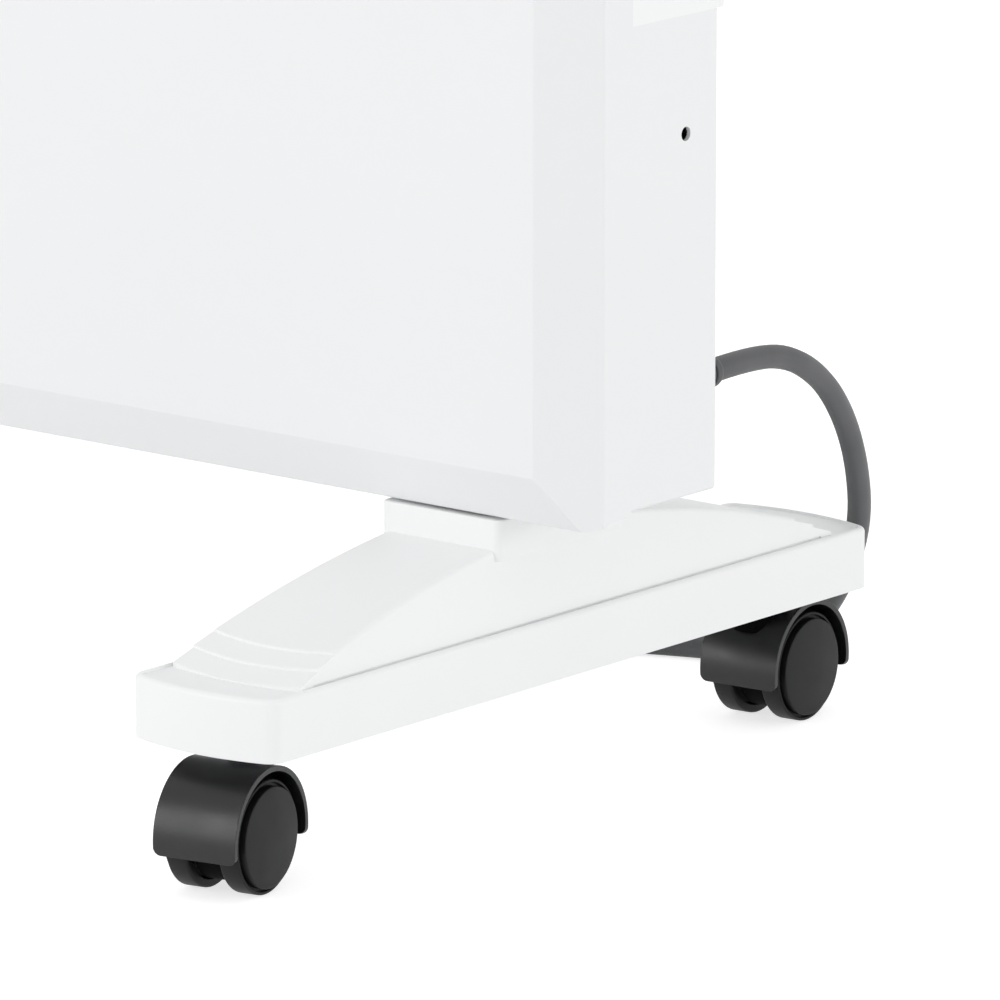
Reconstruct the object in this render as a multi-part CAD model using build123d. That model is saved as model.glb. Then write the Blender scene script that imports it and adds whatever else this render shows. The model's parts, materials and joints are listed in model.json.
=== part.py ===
from build123d import *
from math import cos, pi, radians, sin, tan
import os

# A mobile panel convector heater: a flat sheet-steel body on two moulded feet,
# each foot on two twin-wheel castors. Millimetres, +Z up, the floor at Z = 0,
# the front panel facing -Y, the origin on the floor under the middle of the body.

# ---- Castors -------------------------------------------------------------
wheel_radius = 15.8
wheel_width = 7.8
wheel_dome = 0.9
wheel_edge_round = 0.8
wheel_rim_width = 0.9
wheel_rim_setback = 1.4
wheel_groove_width = 0.5
wheel_groove_depth = 0.9
wheel_tread_wall = 2.4
wheel_cap_wall = 1.2
wheel_hub_radius = 5.2
wheel_recess_depth = 3.6
wheel_gap = 10.0
wheel_side_play = 0.4
axle_radius = 2.5
running_clearance = 0.05
hood_radius = 19.6
hood_wall = 1.5
hood_skirt = 3.6
hood_edge_round = 0.5
hood_corner_round = 2.2
hood_boss_radius = 6.4
hood_boss_rise = 1.4
web_disc_radius = 13.0
axle_chamfer = 0.4
castor_trail = 10.5
castor_swivel_front = 10.0
castor_swivel_rear = 4.6
stem_radius = 4.0
stem_root_radius = 3.0
stem_root_depth = 15.0
stem_collar_radius = 6.0
stem_collar_height = 1.6
stem_length = 15.0
stem_tip_round = 1.0
socket_wall = 1.5
socket_flange_radius = 8.0
socket_flange_height = 0.9
socket_roof = 1.5
collar_play = 0.7

# ---- Feet ----------------------------------------------------------------
foot_inset_from_side = 53.5
foot_width = 51.0
foot_front = -137.3
foot_rear = 133.8
foot_end_bulge = 4.5
foot_corner_round = 5.0
foot_side_height = 17.6
foot_edge_round = 1.6
foot_step_inset = 2.75
foot_rim_width = 1.75
foot_groove_depth = 0.8
foot_wall = 3.0
hump_height = 21.8
hump_draft = 10.0
hump_crest_front = -33.0
hump_crest_rear = 30.0
hump_nose_start = 13.2
hump_nose_rise = 0.3
hump_slope_sag = 2.7
hump_step_count = 2
hump_step_start = 31.3
hump_step_pitch = 7.8
hump_step_bow = 3.8
hump_step_height = 0.75
hump_edge_round = 1.2
shadow_gap_rise = 0.3
shadow_gap_depth = 0.5
castor_end_distance_front = 23.85
castor_end_distance_rear = 24.36
socket_boss_wall = 2.8
foot_rib = 2.0
foot_rib_pitch = 34.0
pedestal_width = 42.0
pedestal_front = -32.8
pedestal_ledge_height = 8.4
pedestal_edge_round = 2.2
pedestal_top_round = 0.4
saddle_clearance = 1.0
foot_screw_radius = 2.5
foot_screw_head_radius = 4.6
foot_screw_head_height = 3.2
foot_screw_head_play = 1.0
foot_screw_head_round = 0.8
foot_screw_spacing = 22.0
foot_screw_reach = 5.0
screw_hole_clearance = 0.15

# ---- Body ----------------------------------------------------------------
body_width = 620.0
body_height = 400.0
front_lip_height = 88.4
sheet = 1.2
front_face = -39.3
lip_setback = 8.1
bevel_height = 14.9
side_bevel_width = 15.2
side_bevel_setback = 11.8
seam = -15.5
rear_face = 22.2
rear_step = 3.6
lap = 5.0
rear_edge_round = 1.2
panel_edge_round = 0.9

# ---- Outlet and inlet ----------------------------------------------------
outlet_width = 500.0
outlet_height = 34.0
outlet_drop = 46.0
outlet_frame = 4.0
outlet_frame_depth = 13.0
outlet_face_proud = 0.8
outlet_blade_thickness = 1.4
outlet_blade_count = 5
outlet_blade_tilt = 35.0
outlet_post_pitch = 62.5
outlet_post_thickness = 2.0
inlet_slot_length = 26.0
inlet_slot_width = 4.0
inlet_slot_pitch_x = 34.0
inlet_slot_pitch_y = 8.0
inlet_slot_columns = 11
inlet_slot_rows = 3

# ---- Side housings and controls -------------------------------------------
housing_width = 46.0
housing_bottom = 226.5
housing_proud = 4.0
housing_wall = 2.0
housing_edge_round = 2.6
panel_recess_depth = 2.0
panel_recess_width = 33.0
panel_recess_height = 140.0
panel_recess_round = 6.0
knob_radius = 13.0
knob_height = 8.2
knob_skirt_radius = 14.5
knob_skirt_height = 1.6
knob_grip_depth = 0.9
knob_grip_count = 18
knob_play = 2.0
knob_dish_depth = 7.0
knob_lift = 0.6
knob_drop = 52.0
shaft_radius = 3.0
thermostat_radius = 15.0
thermostat_depth = 20.0
thermostat_chamfer = 0.8
knob_edge_round = 1.0
knob_mark_width = 1.6
knob_mark_depth = 0.6
knob_mark_margin = 1.5
rocker_length = 18.0
rocker_width = 11.0
rocker_frame_wall = 1.5
rocker_frame_proud = 1.0
rocker_frame_lap = 0.5
rocker_frame_round = 1.0
rocker_key_back = 1.2
rocker_key_lift = 1.5
rocker_depth = 7.0
rocker_tilt = 6.0
rocker_play = 0.45
rocker_pivot_depth = 4.0
rocker_case_depth = 20.0
rocker_drop = 88.0
rocker_spacing = 30.0
side_hole_radius = 2.0
side_hole_back = 14.3
side_hole_height = 193.6

# ---- Inside --------------------------------------------------------------
element_length = 440.0
element_height = 148.0
element_depth_place = -8.0
element_core_radius = 6.0
element_fin_length = 24.0
element_fin_thickness = 2.0
element_fin_angle = 38.0
element_tip_width = 9.0
element_pin_radius = 3.2
element_pin_length = 26.0
bush_radius = 8.0
bush_length = 9.0
bracket_thickness = 1.6
bracket_height = 34.0
bracket_foot = 12.0
bracket_gap = 6.0
bracket_margin = 3.0
bracket_corner_round = 4.0
bush_groove_depth = 1.5
terminal_tab_length = 8.0
terminal_tab_thickness = 0.8
shield_depth = 9.0
shield_bottom = 182.0
shield_top = 450.0
shield_width = 470.0
cutout_radius = 9.0
cutout_height = 7.0
cutout_edge_round = 1.0
cutout_ear_reach = 14.4
cutout_ear_width = 8.0
cutout_ear_thickness = 1.0
tip_switch_size = (16.0, 20.0, 24.0)
tip_switch_chamfer = 1.0
block_size = (30.0, 14.0, 18.0)
block_inset = 48.0
block_place_z = 150.0
wire_radius = 1.3
wire_drop = 12.0
wire_clearance = 14.0
wire_wall_gap = 4.0
wire_corridor_inset = 15.0

# ---- Wall bracket holes ---------------------------------------------------
bracket_hole_radius = 2.6
bracket_hole_spacing_x = 340.0
bracket_hole_spacing_z = 150.0
bracket_hole_centre_z = 350.0
cover_screw_radius = 1.9
cover_screw_head_radius = 3.6
cover_screw_head_height = 1.6
cover_screw_head_round = 0.7
cover_screw_reach = 6.0
cover_screw_spacing = 332.0

# ---- Supply cord ----------------------------------------------------------
cord_radius = 3.4
gland_inset = 19.0
gland_flange_radius = 9.0
gland_flange_height = 2.5
gland_neck_radius = 6.0
gland_inner_length = 2.5
gland_edge_round = 1.0
relief_length = 20.0
relief_root_radius = 5.6
relief_tip_radius = 4.4
coil_mean_radius = 37.0
coil_rings = 3
coil_layers = 2
coil_centre = (130.0, 186.0)
tie_thickness = 1.0
tie_width = 8.0
tie_angle = 35.0
plug_face = (160.0, 62.0)
plug_radius = 19.0
plug_flange_depth = 13.0
plug_edge_round = 1.5
plug_grip_root_radius = 13.5
plug_grip_end_radius = 8.5
plug_grip_length = 21.0
plug_tail_length = 22.0
plug_pin_radius = 2.4
plug_pin_length = 19.0
plug_pin_spacing = 19.0
plug_pin_tip_round = 1.2

# ---- Worked out from the sizes above ---------------------------------------
hood_length = wheel_gap + 2 * wheel_width
web_width = wheel_gap - 2 * wheel_side_play
hood_top = wheel_radius + hood_radius
boss_top = hood_top + hood_boss_rise
collar_top = boss_top + stem_collar_height
socket_bottom = collar_top + collar_play
foot_bottom = socket_bottom + socket_flange_height
rim_top = foot_bottom + foot_side_height
groove_floor = rim_top - foot_groove_depth
hump_top = rim_top + hump_height
foot_roof = foot_wall + hump_step_count * hump_step_height
ledge_top = hump_top + pedestal_ledge_height
stem_front = foot_front + castor_end_distance_front
stem_rear = foot_rear - castor_end_distance_rear
foot_centre_x = body_width / 2 - foot_inset_from_side
body_bottom = front_lip_height
body_top = body_bottom + body_height
rear_bottom = body_bottom + rear_step
rear_top = body_top - rear_step
lip = front_face + lip_setback
half_width = body_width / 2
housing_inner = half_width - housing_width
housing_rear = rear_face + housing_proud
panel_floor = half_width - panel_recess_depth
knob_z = rear_top - knob_drop
knob_y = (seam + housing_rear) / 2
rocker_tops = [knob_z - rocker_drop / 2 - i * rocker_spacing for i in range(2)]
rear_wall = rear_face - sheet
coil_band = coil_rings * 2 * cord_radius
coil_height = coil_layers * 2 * cord_radius
coil_outer = coil_mean_radius + coil_band / 2
gland_x = half_width - gland_inset
gland_z = 118.8
block_place_x = half_width - block_inset


def write(name, shape):
    """One STEP file for each piece or group of like pieces."""
    solids = list(shape.solids())
    group = solids[0] if len(solids) == 1 else Compound(children=solids)
    group.label = name
    export_step(group, f"parts/{name}.step")


def rod(start, direction, radius, length):
    """A round bar from a point along a direction."""
    place = Plane(origin=start, z_dir=direction)
    return place * Cylinder(radius, length, align=(Align.CENTER, Align.CENTER, Align.MIN))


def taper(middle, front_radius, rear_radius, length):
    """A round taper along Y."""
    return Plane(origin=middle, z_dir=(0, 1, 0)) * Cone(front_radius, rear_radius, length)


def block(low, high):
    """A box between two corners."""
    size = [high[i] - low[i] for i in range(3)]
    return Pos(*low) * Box(*size, align=(Align.MIN, Align.MIN, Align.MIN))


# ---- Castors ---------------------------------------------------------------

def wheel():
    """One half of a twin wheel: its inner face at X = 0, a rim ring, a groove and a domed cap."""
    rim_face = wheel_width - wheel_rim_setback
    rim_inner = wheel_radius - wheel_rim_width
    cap_edge = rim_inner - wheel_groove_width
    groove_end = rim_face - wheel_groove_depth
    recess_radius = wheel_radius - wheel_tread_wall
    bore = axle_radius + running_clearance
    bore_end = wheel_width - wheel_cap_wall
    outline = Polyline(
        (wheel_width, cap_edge),
        (groove_end, cap_edge),
        (groove_end, rim_inner),
        (rim_face, rim_inner),
        (rim_face, wheel_radius),
        (0, wheel_radius),
        (0, recess_radius),
        (wheel_recess_depth, recess_radius),
        (wheel_recess_depth, wheel_hub_radius),
        (0, wheel_hub_radius),
        (0, bore),
        (bore_end, bore),
        (bore_end, 0),
        (wheel_width + wheel_dome, 0),
    )
    dome = ThreePointArc(
        (wheel_width + wheel_dome, 0),
        (wheel_width + wheel_dome * 0.75, cap_edge * 0.5),
        (wheel_width, cap_edge),
    )
    section = make_face(outline + dome)
    tread_corners = [corner for corner in section.vertices() if corner.Y > rim_inner + wheel_edge_round]
    return revolve(fillet(tread_corners, wheel_edge_round), Axis.X)


def castor_hood():
    """The hood over both wheels, with the web that carries the axle and the stem."""
    centre = Pos(0, castor_trail, wheel_radius) * Rot(0, 90, 0)
    shell = centre * Cylinder(hood_radius, hood_length)
    shell = fillet(shell.edges().filter_by(GeomType.CIRCLE), hood_edge_round)
    skirt_level = wheel_radius - hood_skirt
    cover = Pos(0, skirt_level + hood_radius) * Rectangle(hood_length, 2 * hood_radius)
    cover = fillet(cover.vertices().sort_by(Axis.Y)[:2], hood_corner_round)
    shell &= extrude(Plane.XZ * cover, 3 * hood_radius, both=True)
    boss = rod((0, 0, wheel_radius), (0, 0, 1), hood_boss_radius, boss_top - wheel_radius)
    hood = shell + boss
    for side in (-1, 1):
        bay_middle = side * (web_width + hood_length) / 2
        hood -= Pos(bay_middle, 0, 0) * centre * Cylinder(hood_radius - hood_wall, hood_length)
    hood += centre * Cylinder(web_disc_radius, web_width)
    hood -= centre * Cylinder(axle_radius, hood_length)
    hood -= rod((0, 0, boss_top - stem_root_depth), (0, 0, 1), stem_root_radius, 2 * stem_root_depth)
    return hood


def castor_stem():
    """The steel pin that turns in the foot: root in the hood, collar, then the pin."""
    root = rod((0, 0, boss_top - stem_root_depth), (0, 0, 1), stem_root_radius, stem_root_depth)
    collar = rod((0, 0, boss_top), (0, 0, 1), stem_collar_radius, stem_collar_height)
    pin = rod((0, 0, collar_top), (0, 0, 1), stem_radius, stem_length)
    pin = chamfer(pin.edges().sort_by(Axis.Z)[-1], stem_tip_round)
    return root + collar + pin


def castor_axle():
    reach = wheel_gap / 2 + wheel_width - wheel_cap_wall - running_clearance
    axle = Pos(0, castor_trail, wheel_radius) * Rot(0, 90, 0) * Cylinder(axle_radius, 2 * reach)
    return chamfer(axle.edges().filter_by(GeomType.CIRCLE), axle_chamfer)


def stem_places():
    """Name, X, Y and heading of each castor; at rest every castor trails outwards."""
    places = []
    for side_name, side in (("right", 1), ("left", -1)):
        x = side * foot_centre_x
        places.append((f"front_{side_name}", x, stem_front, 180 + side * castor_swivel_front))
        places.append((f"rear_{side_name}", x, stem_rear, side * castor_swivel_rear))
    return places


def write_castors():
    hood = castor_hood()
    stem = castor_stem()
    axle = castor_axle()
    half_gap = wheel_gap / 2
    for name, x, y, heading in stem_places():
        place = Pos(x, y, 0) * Rot(0, 0, heading)
        write(f"castor_hood_{name}", place * hood)
        write(f"castor_stem_{name}", place * stem)
        write(f"castor_axle_{name}", place * axle)
        wheel_a = Pos(half_gap, castor_trail, wheel_radius) * wheel()
        wheel_b = Pos(-half_gap, castor_trail, wheel_radius) * Rot(0, 0, 180) * wheel()
        write(f"castor_wheel_a_{name}", place * wheel_a)
        write(f"castor_wheel_b_{name}", place * wheel_b)


def castor_sockets():
    """Steel sleeves pressed into the feet, in which the castor stems turn."""
    height = collar_top + stem_length + running_clearance - socket_bottom + socket_roof
    sockets = []
    for name, x, y, heading in stem_places():
        sleeve = rod((x, y, socket_bottom), (0, 0, 1), stem_radius + socket_wall, height)
        flange = rod((x, y, socket_bottom), (0, 0, 1), socket_flange_radius, socket_flange_height)
        bore_depth = height - socket_roof
        bore = rod((x, y, socket_bottom), (0, 0, 1), stem_radius + running_clearance, bore_depth)
        sockets.append(sleeve + flange - bore)
    return Compound(children=sockets)


# ---- Feet --------------------------------------------------------------------

def bowed_plan(front, rear, bow):
    """A strip of the foot's width seen from above, with its two ends bowed outwards."""
    half = foot_width / 2
    outline = [
        Line((-half, front + bow), (-half, rear - bow)),
        ThreePointArc((-half, rear - bow), (0, rear), (half, rear - bow)),
        Line((half, rear - bow), (half, front + bow)),
        ThreePointArc((half, front + bow), (0, front), (-half, front + bow)),
    ]
    return make_face(outline)


def foot_plan(inset):
    """The foot seen from above, with rounded corners, or the same an inset further in."""
    plan = bowed_plan(foot_front, foot_rear, foot_end_bulge)
    plan = fillet(plan.vertices(), foot_corner_round)
    if inset > 0:
        plan = offset(plan, amount=-inset, kind=Kind.INTERSECTION)
    return plan


def hump_profile(drop):
    """Side view of the raised middle: a convex slope to the crest from each end, run across the foot."""
    nose = foot_front + hump_nose_start
    tail = foot_rear - hump_nose_start
    crest = hump_top - drop
    slope_foot = rim_top + hump_nose_rise - drop
    middle_z = (slope_foot + crest) / 2 + hump_slope_sag
    front_middle = ((nose + hump_crest_front) / 2, middle_z)
    rear_middle = ((tail + hump_crest_rear) / 2, middle_z)
    lines = [
        Line((hump_crest_rear, crest), (hump_crest_front, crest)),
        ThreePointArc((hump_crest_front, crest), front_middle, (nose, slope_foot)),
        Polyline((nose, slope_foot), (nose, foot_bottom), (tail, foot_bottom), (tail, slope_foot)),
        ThreePointArc((tail, slope_foot), rear_middle, (hump_crest_rear, crest)),
    ]
    return extrude(Plane.YZ * make_face(lines), foot_width, both=True)


def hump_tiers():
    """The raised middle in tiers: each end has shallow bowed steps across its slope."""
    tiers = []
    for count in range(hump_step_count + 1):
        start = hump_step_start - count * hump_step_pitch
        plan = bowed_plan(foot_front + start, foot_rear - start, hump_step_bow)
        tiers.append(hump_profile(count * hump_step_height) & extrude(plan, body_height))
    return tiers[0] + tiers[1:]


def hump_column(inset):
    """The raised middle's outline in plan, upright to the rim's level and drafted above it."""
    rise = hump_height + foot_step_inset
    lean = rise * tan(radians(hump_draft))
    upright = extrude(Pos(0, 0, foot_bottom) * foot_plan(inset), rim_top - foot_bottom)
    low = Pos(0, 0, rim_top) * foot_plan(inset)
    high = Pos(0, 0, rim_top + rise) * foot_plan(inset + lean)
    return upright + loft([low.face(), high.face()])


def foot_outside():
    """The foot's outer form: a rimmed ledge, a fine gap along the raised middle, and its tiers."""
    tray = extrude(Pos(0, 0, foot_bottom) * foot_plan(0), foot_side_height)
    tray = fillet(tray.faces().sort_by(Axis.Z)[-1].edges(), foot_edge_round)
    tray -= extrude(Pos(0, 0, groove_floor) * foot_plan(foot_rim_width), foot_side_height)
    gap = extrude(foot_plan(foot_rim_width) - foot_plan(foot_step_inset + shadow_gap_depth),
                  foot_groove_depth + shadow_gap_rise)
    gap_end = hump_step_start - hump_step_pitch
    gap_span = block((-foot_width, foot_front + gap_end, groove_floor),
                     (foot_width, foot_rear - gap_end, hump_top))
    hump = hump_column(foot_step_inset) & hump_tiers()
    slope_edges = [edge for edge in hump.edges() if edge.center().Z > rim_top + hump_nose_rise]
    side_edges = [
        edge for edge in slope_edges
        if edge.length > foot_width / 2 and abs(edge.center().X) > foot_width / 4
    ]
    hump = fillet(side_edges, hump_edge_round)
    return tray + hump - (Pos(0, 0, groove_floor) * gap & gap_span)


def foot_inside():
    """The hollow under the foot, a wall inside its outer form."""
    tray = extrude(Pos(0, 0, foot_bottom) * foot_plan(foot_wall), groove_floor - foot_wall - foot_bottom)
    return tray + (hump_column(foot_step_inset + foot_wall) & hump_profile(foot_roof))


def foot():
    """A moulded foot: hollow from below, with castor bosses, ribs and a pedestal for the body."""
    half_ledge = pedestal_width / 2
    half_saddle = half_ledge - pedestal_edge_round
    ledge = block((-half_ledge, pedestal_front, hump_top - foot_wall), (half_ledge, rear_face, ledge_top))
    ledge = fillet(ledge.edges().filter_by(Axis.Z), pedestal_edge_round)
    ledge = fillet(ledge.faces().sort_by(Axis.Z)[-1].edges(), pedestal_top_round)
    saddle = block((-half_saddle, seam + saddle_clearance, ledge_top - foot_rib),
                   (half_saddle, rear_face - rear_edge_round, rear_bottom))
    rib_bottom = foot_bottom + foot_rib
    ribs = block((-foot_rib / 2, foot_front + foot_end_bulge, rib_bottom),
                 (foot_rib / 2, foot_rear - foot_end_bulge, hump_top))
    rib_reach = (foot_width - foot_wall) / 2
    rib_y = hump_crest_front
    while rib_y < hump_crest_rear + foot_rib_pitch:
        rib_start = rib_y - foot_rib / 2
        ribs += block((-rib_reach, rib_start, rib_bottom), (rib_reach, rib_start + foot_rib, hump_top))
        rib_y += foot_rib_pitch
    post_y = (seam + rear_face) / 2
    for side in (-1, 1):
        post_x = side * foot_screw_spacing / 2
        driver_space = foot_screw_head_radius + foot_screw_head_play
        ribs -= rod((post_x, post_y, foot_bottom), (0, 0, 1), driver_space, hump_top - foot_bottom)
    hollow = foot_inside() - ribs
    for stem_y in (stem_front, stem_rear):
        boss_radius = stem_radius + socket_wall + socket_boss_wall
        hollow -= rod((0, stem_y, foot_bottom), (0, 0, 1), boss_radius, hump_top - foot_bottom)
    solid = foot_outside() - hollow + ledge + saddle
    for stem_y in (stem_front, stem_rear):
        sleeve_height = collar_top + stem_length + running_clearance + socket_roof - foot_bottom
        solid -= rod((0, stem_y, foot_bottom), (0, 0, 1), stem_radius + socket_wall, sleeve_height)
    for side in (-1, 1):
        post_x = side * foot_screw_spacing / 2
        hole_radius = foot_screw_radius + screw_hole_clearance
        solid -= rod((post_x, post_y, foot_bottom), (0, 0, 1), hole_radius, body_height)
    return solid


def foot_screws():
    """Screws driven up through the pedestals into the back of the body."""
    screws = []
    head_top = hump_top - foot_roof
    post_y = (seam + rear_face) / 2
    for foot_side in (-1, 1):
        for side in (-1, 1):
            x = foot_side * foot_centre_x + side * foot_screw_spacing / 2
            head = rod((x, post_y, head_top), (0, 0, -1), foot_screw_head_radius, foot_screw_head_height)
            head = fillet(head.edges().sort_by(Axis.Z)[0], foot_screw_head_round)
            length = rear_bottom + sheet + foot_screw_reach - head_top
            screws.append(head + rod((x, post_y, head_top), (0, 0, 1), foot_screw_radius, length))
    return Compound(children=screws)


# ---- Body ----------------------------------------------------------------------

def cover_prisms(inset, back):
    """The bevelled front form: its plan and its side view, each run through the other."""
    side_start = front_face + side_bevel_setback
    crease_x = half_width - side_bevel_width
    plan = Polyline(
        (-half_width, back),
        (-half_width, side_start),
        (-crease_x, front_face),
        (crease_x, front_face),
        (half_width, side_start),
        (half_width, back),
        close=True,
    )
    flat_start = seam - lap - rear_step
    flange_bottom = rear_bottom - sheet
    flange_top = rear_top + sheet
    side = Polyline(
        (back, flange_bottom),
        (flat_start, flange_bottom),
        (lip, body_bottom),
        (front_face, body_bottom + bevel_height),
        (front_face, body_top - bevel_height),
        (lip, body_top),
        (flat_start, flange_top),
        (back, flange_top),
        close=True,
    )
    plan_face = make_face(plan)
    side_face = make_face(side)
    if inset > 0:
        plan_face = offset(plan_face, amount=-inset, kind=Kind.INTERSECTION)
        side_face = offset(side_face, amount=-inset, kind=Kind.INTERSECTION)
    tall = extrude(plan_face, body_top + bevel_height)
    wide = extrude(Plane.YZ * side_face, body_width, both=True)
    return tall & wide


def outlet_window(grow, front, back):
    """The space of the air outlet near the top of the front panel."""
    top = body_top - outlet_drop + grow
    bottom = body_top - outlet_drop - outlet_height - grow
    half = outlet_width / 2 + grow
    return block((-half, front, bottom), (half, back, top))


def front_cover():
    """The front sheet: a bevelled pan, open at the back, with the outlet window."""
    outer = cover_prisms(0, seam)
    long_edges = [
        edge for edge in outer.edges()
        if abs(edge.center().Y - front_face) < 0.01 or abs(edge.center().Y - lip) < 0.01
    ]
    outer = fillet(long_edges, panel_edge_round)
    pan = outer - cover_prisms(sheet, seam + lap + 2 * sheet)
    pan -= outlet_window(0, front_face - sheet, front_face + 2 * sheet)
    flange_z = rear_bottom - sheet / 2
    for side in (-1, 1):
        x = side * cover_screw_spacing / 2
        hole_radius = cover_screw_radius + screw_hole_clearance
        pan -= rod((x, seam - lap / 2, flange_z - sheet), (0, 0, 1), hole_radius, 2 * sheet)
    return pan


def outlet_grille():
    """A moulded frame in the window, with tilted blades between upright posts."""
    front = front_face - outlet_face_proud
    back = front_face + outlet_frame_depth
    lipped = outlet_window(outlet_frame, front, front_face)
    lipped = fillet(lipped.faces().sort_by(Axis.Y)[0].edges(), outlet_face_proud / 2)
    sleeve = outlet_window(0, front, back)
    opening = outlet_window(-outlet_frame / 2, front - 1, back + 1)
    frame = lipped + sleeve - opening
    clear_height = outlet_height - outlet_frame
    pitch = clear_height / outlet_blade_count
    middle_z = body_top - outlet_drop - outlet_height / 2
    blades = []
    blade_depth = outlet_frame_depth - 2 * outlet_blade_thickness
    for i in range(outlet_blade_count):
        z = middle_z + (i - (outlet_blade_count - 1) / 2) * pitch
        blade = Box(outlet_width - outlet_frame, blade_depth, outlet_blade_thickness)
        place = Pos(0, (front + back) / 2, z) * Rot(outlet_blade_tilt, 0, 0)
        blades.append(place * blade)
    post_count = int((outlet_width - outlet_frame) // outlet_post_pitch)
    for i in range(post_count):
        x = (i - (post_count - 1) / 2) * outlet_post_pitch
        blades.append(block((x - outlet_post_thickness / 2, front_face + outlet_blade_thickness,
                             middle_z - outlet_height / 2),
                            (x + outlet_post_thickness / 2, back, middle_z + outlet_height / 2)))
    return frame + blades


def housing_spaces(grow, front):
    """The two upper end spaces that the side housings take, or a wall more."""
    spaces = []
    for side in (-1, 1):
        low_x, high_x = sorted((side * (housing_inner - grow), side * body_width))
        spaces.append(block((low_x, front, housing_bottom - grow), (high_x, housing_rear, body_top)))
    return spaces


def rear_form(inset, front):
    """The rear tray's form, stepped in where the two side housings sit."""
    half = half_width - inset
    tray = block((-half, front, rear_bottom + inset), (half, rear_face - inset, rear_top - inset))
    if inset == 0:
        tray = fillet(tray.edges().filter_by(Axis.Z).sort_by(Axis.Y)[-2:], rear_edge_round)
        tray = fillet(tray.faces().sort_by(Axis.Y)[-1].edges().filter_by(Axis.X), rear_edge_round)
    return tray - housing_spaces(inset, front - lap)


def inlet_slots():
    """Rows of rounded slots through the bottom of the rear tray."""
    one = extrude(SlotOverall(inlet_slot_length, inlet_slot_width), 4 * sheet, both=True)
    slots = []
    middle_y = (seam + rear_face) / 2
    for i in range(inlet_slot_columns):
        for j in range(inlet_slot_rows):
            x = (i - (inlet_slot_columns - 1) / 2) * inlet_slot_pitch_x
            y = middle_y + (j - (inlet_slot_rows - 1) / 2) * inlet_slot_pitch_y
            slots.append(Pos(x, y, rear_bottom) * one)
    return slots


def bracket_holes(radius, start, length):
    holes = []
    for side in (-1, 1):
        for level in (-1, 1):
            x = side * bracket_hole_spacing_x / 2
            z = bracket_hole_centre_z + level * bracket_hole_spacing_z / 2
            holes.append(rod((x, start, z), (0, 1, 0), radius, length))
    return holes


def rear_cover():
    """The rear sheet tray, lapped into the front pan, with inlet slots and screw holes."""
    outer = rear_form(0, seam)
    tray = outer - rear_form(sheet, seam - 1)
    lap_half = half_width - sheet
    lap_outer = block((-lap_half, seam - lap, rear_bottom), (lap_half, seam + lap, rear_top))
    lap_inner = block((-lap_half + sheet, seam - 2 * lap, rear_bottom + sheet),
                      (lap_half - sheet, seam + 2 * lap, rear_top - sheet))
    tray += lap_outer - lap_inner - housing_spaces(0, seam)
    tray -= inlet_slots()
    tray -= bracket_holes(bracket_hole_radius, rear_wall - 1, 3 * sheet)
    tray -= rod((gland_x, rear_wall - 1, gland_z), (0, 1, 0), gland_neck_radius, 3 * sheet)
    for side in (-1, 1):
        hole_start = (side * (half_width - 2 * sheet), rear_face - side_hole_back, side_hole_height)
        tray -= rod(hole_start, (side, 0, 0), side_hole_radius, 3 * sheet)
        screw_x = side * cover_screw_spacing / 2
        tray -= rod((screw_x, seam - lap / 2, rear_bottom - 1), (0, 0, 1), cover_screw_radius, 3 * sheet)
        for post in (-1, 1):
            post_x = side * foot_centre_x + post * foot_screw_spacing / 2
            hole = (post_x, (seam + rear_face) / 2, rear_bottom - 1)
            tray -= rod(hole, (0, 0, 1), foot_screw_radius, 3 * sheet)
    return tray


def side_housing(side):
    """The moulded end housing: a box open to the front, proud of the back sheet."""
    low_x, high_x = sorted((side * housing_inner, side * half_width))
    outer = block((low_x, seam, housing_bottom), (high_x, housing_rear, rear_top))
    rear_edges = outer.faces().sort_by(Axis.Y)[-1].edges()
    outer = fillet(rear_edges, housing_edge_round)
    inner_low = low_x + housing_wall
    inner_high = high_x - housing_wall
    inner = block((inner_low, seam - 1, housing_bottom + housing_wall),
                  (inner_high, housing_rear - housing_wall, rear_top - housing_wall))
    return outer - inner


def control_recess():
    """The shallow recess in the housing's side that holds the controls."""
    middle_z = (knob_z + rocker_tops[-1]) / 2
    outline = RectangleRounded(panel_recess_width, panel_recess_height, panel_recess_round)
    place = Plane(origin=(panel_floor, knob_y, middle_z), x_dir=(0, 1, 0), z_dir=(1, 0, 0))
    return extrude(place * outline, panel_recess_depth + 1)


def control_housing():
    """The right housing, with its control recess, knob dish and rocker openings."""
    housing = side_housing(1)
    dish_radius = knob_skirt_radius + knob_play
    dish_floor = half_width - knob_dish_depth - panel_recess_depth
    pan_start = (dish_floor - housing_wall, knob_y, knob_z)
    pan_outer = rod(pan_start, (1, 0, 0), dish_radius + housing_wall, knob_dish_depth + housing_wall)
    backing = block((panel_floor - housing_wall, seam, rocker_tops[-1] - rocker_length),
                    (half_width - housing_wall / 2, housing_rear - housing_edge_round, knob_z + dish_radius))
    housing += backing
    space = block((housing_inner, seam, housing_bottom), (half_width, housing_rear, rear_top))
    housing += pan_outer & space
    housing -= control_recess()
    housing -= rod((dish_floor, knob_y, knob_z), (1, 0, 0), dish_radius, 2 * knob_dish_depth)
    shaft_hole = (dish_floor - 2 * housing_wall, knob_y, knob_z)
    housing -= rod(shaft_hole, (1, 0, 0), shaft_radius + knob_lift, 3 * housing_wall)
    for z in rocker_tops:
        half_y = rocker_width / 2 + rocker_frame_wall - rocker_frame_lap
        half_z = rocker_length / 2 + rocker_frame_wall - rocker_frame_lap
        housing -= block((panel_floor - 3 * housing_wall, knob_y - half_y, z - half_z),
                         (half_width + 1, knob_y + half_y, z + half_z))
    return housing


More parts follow.
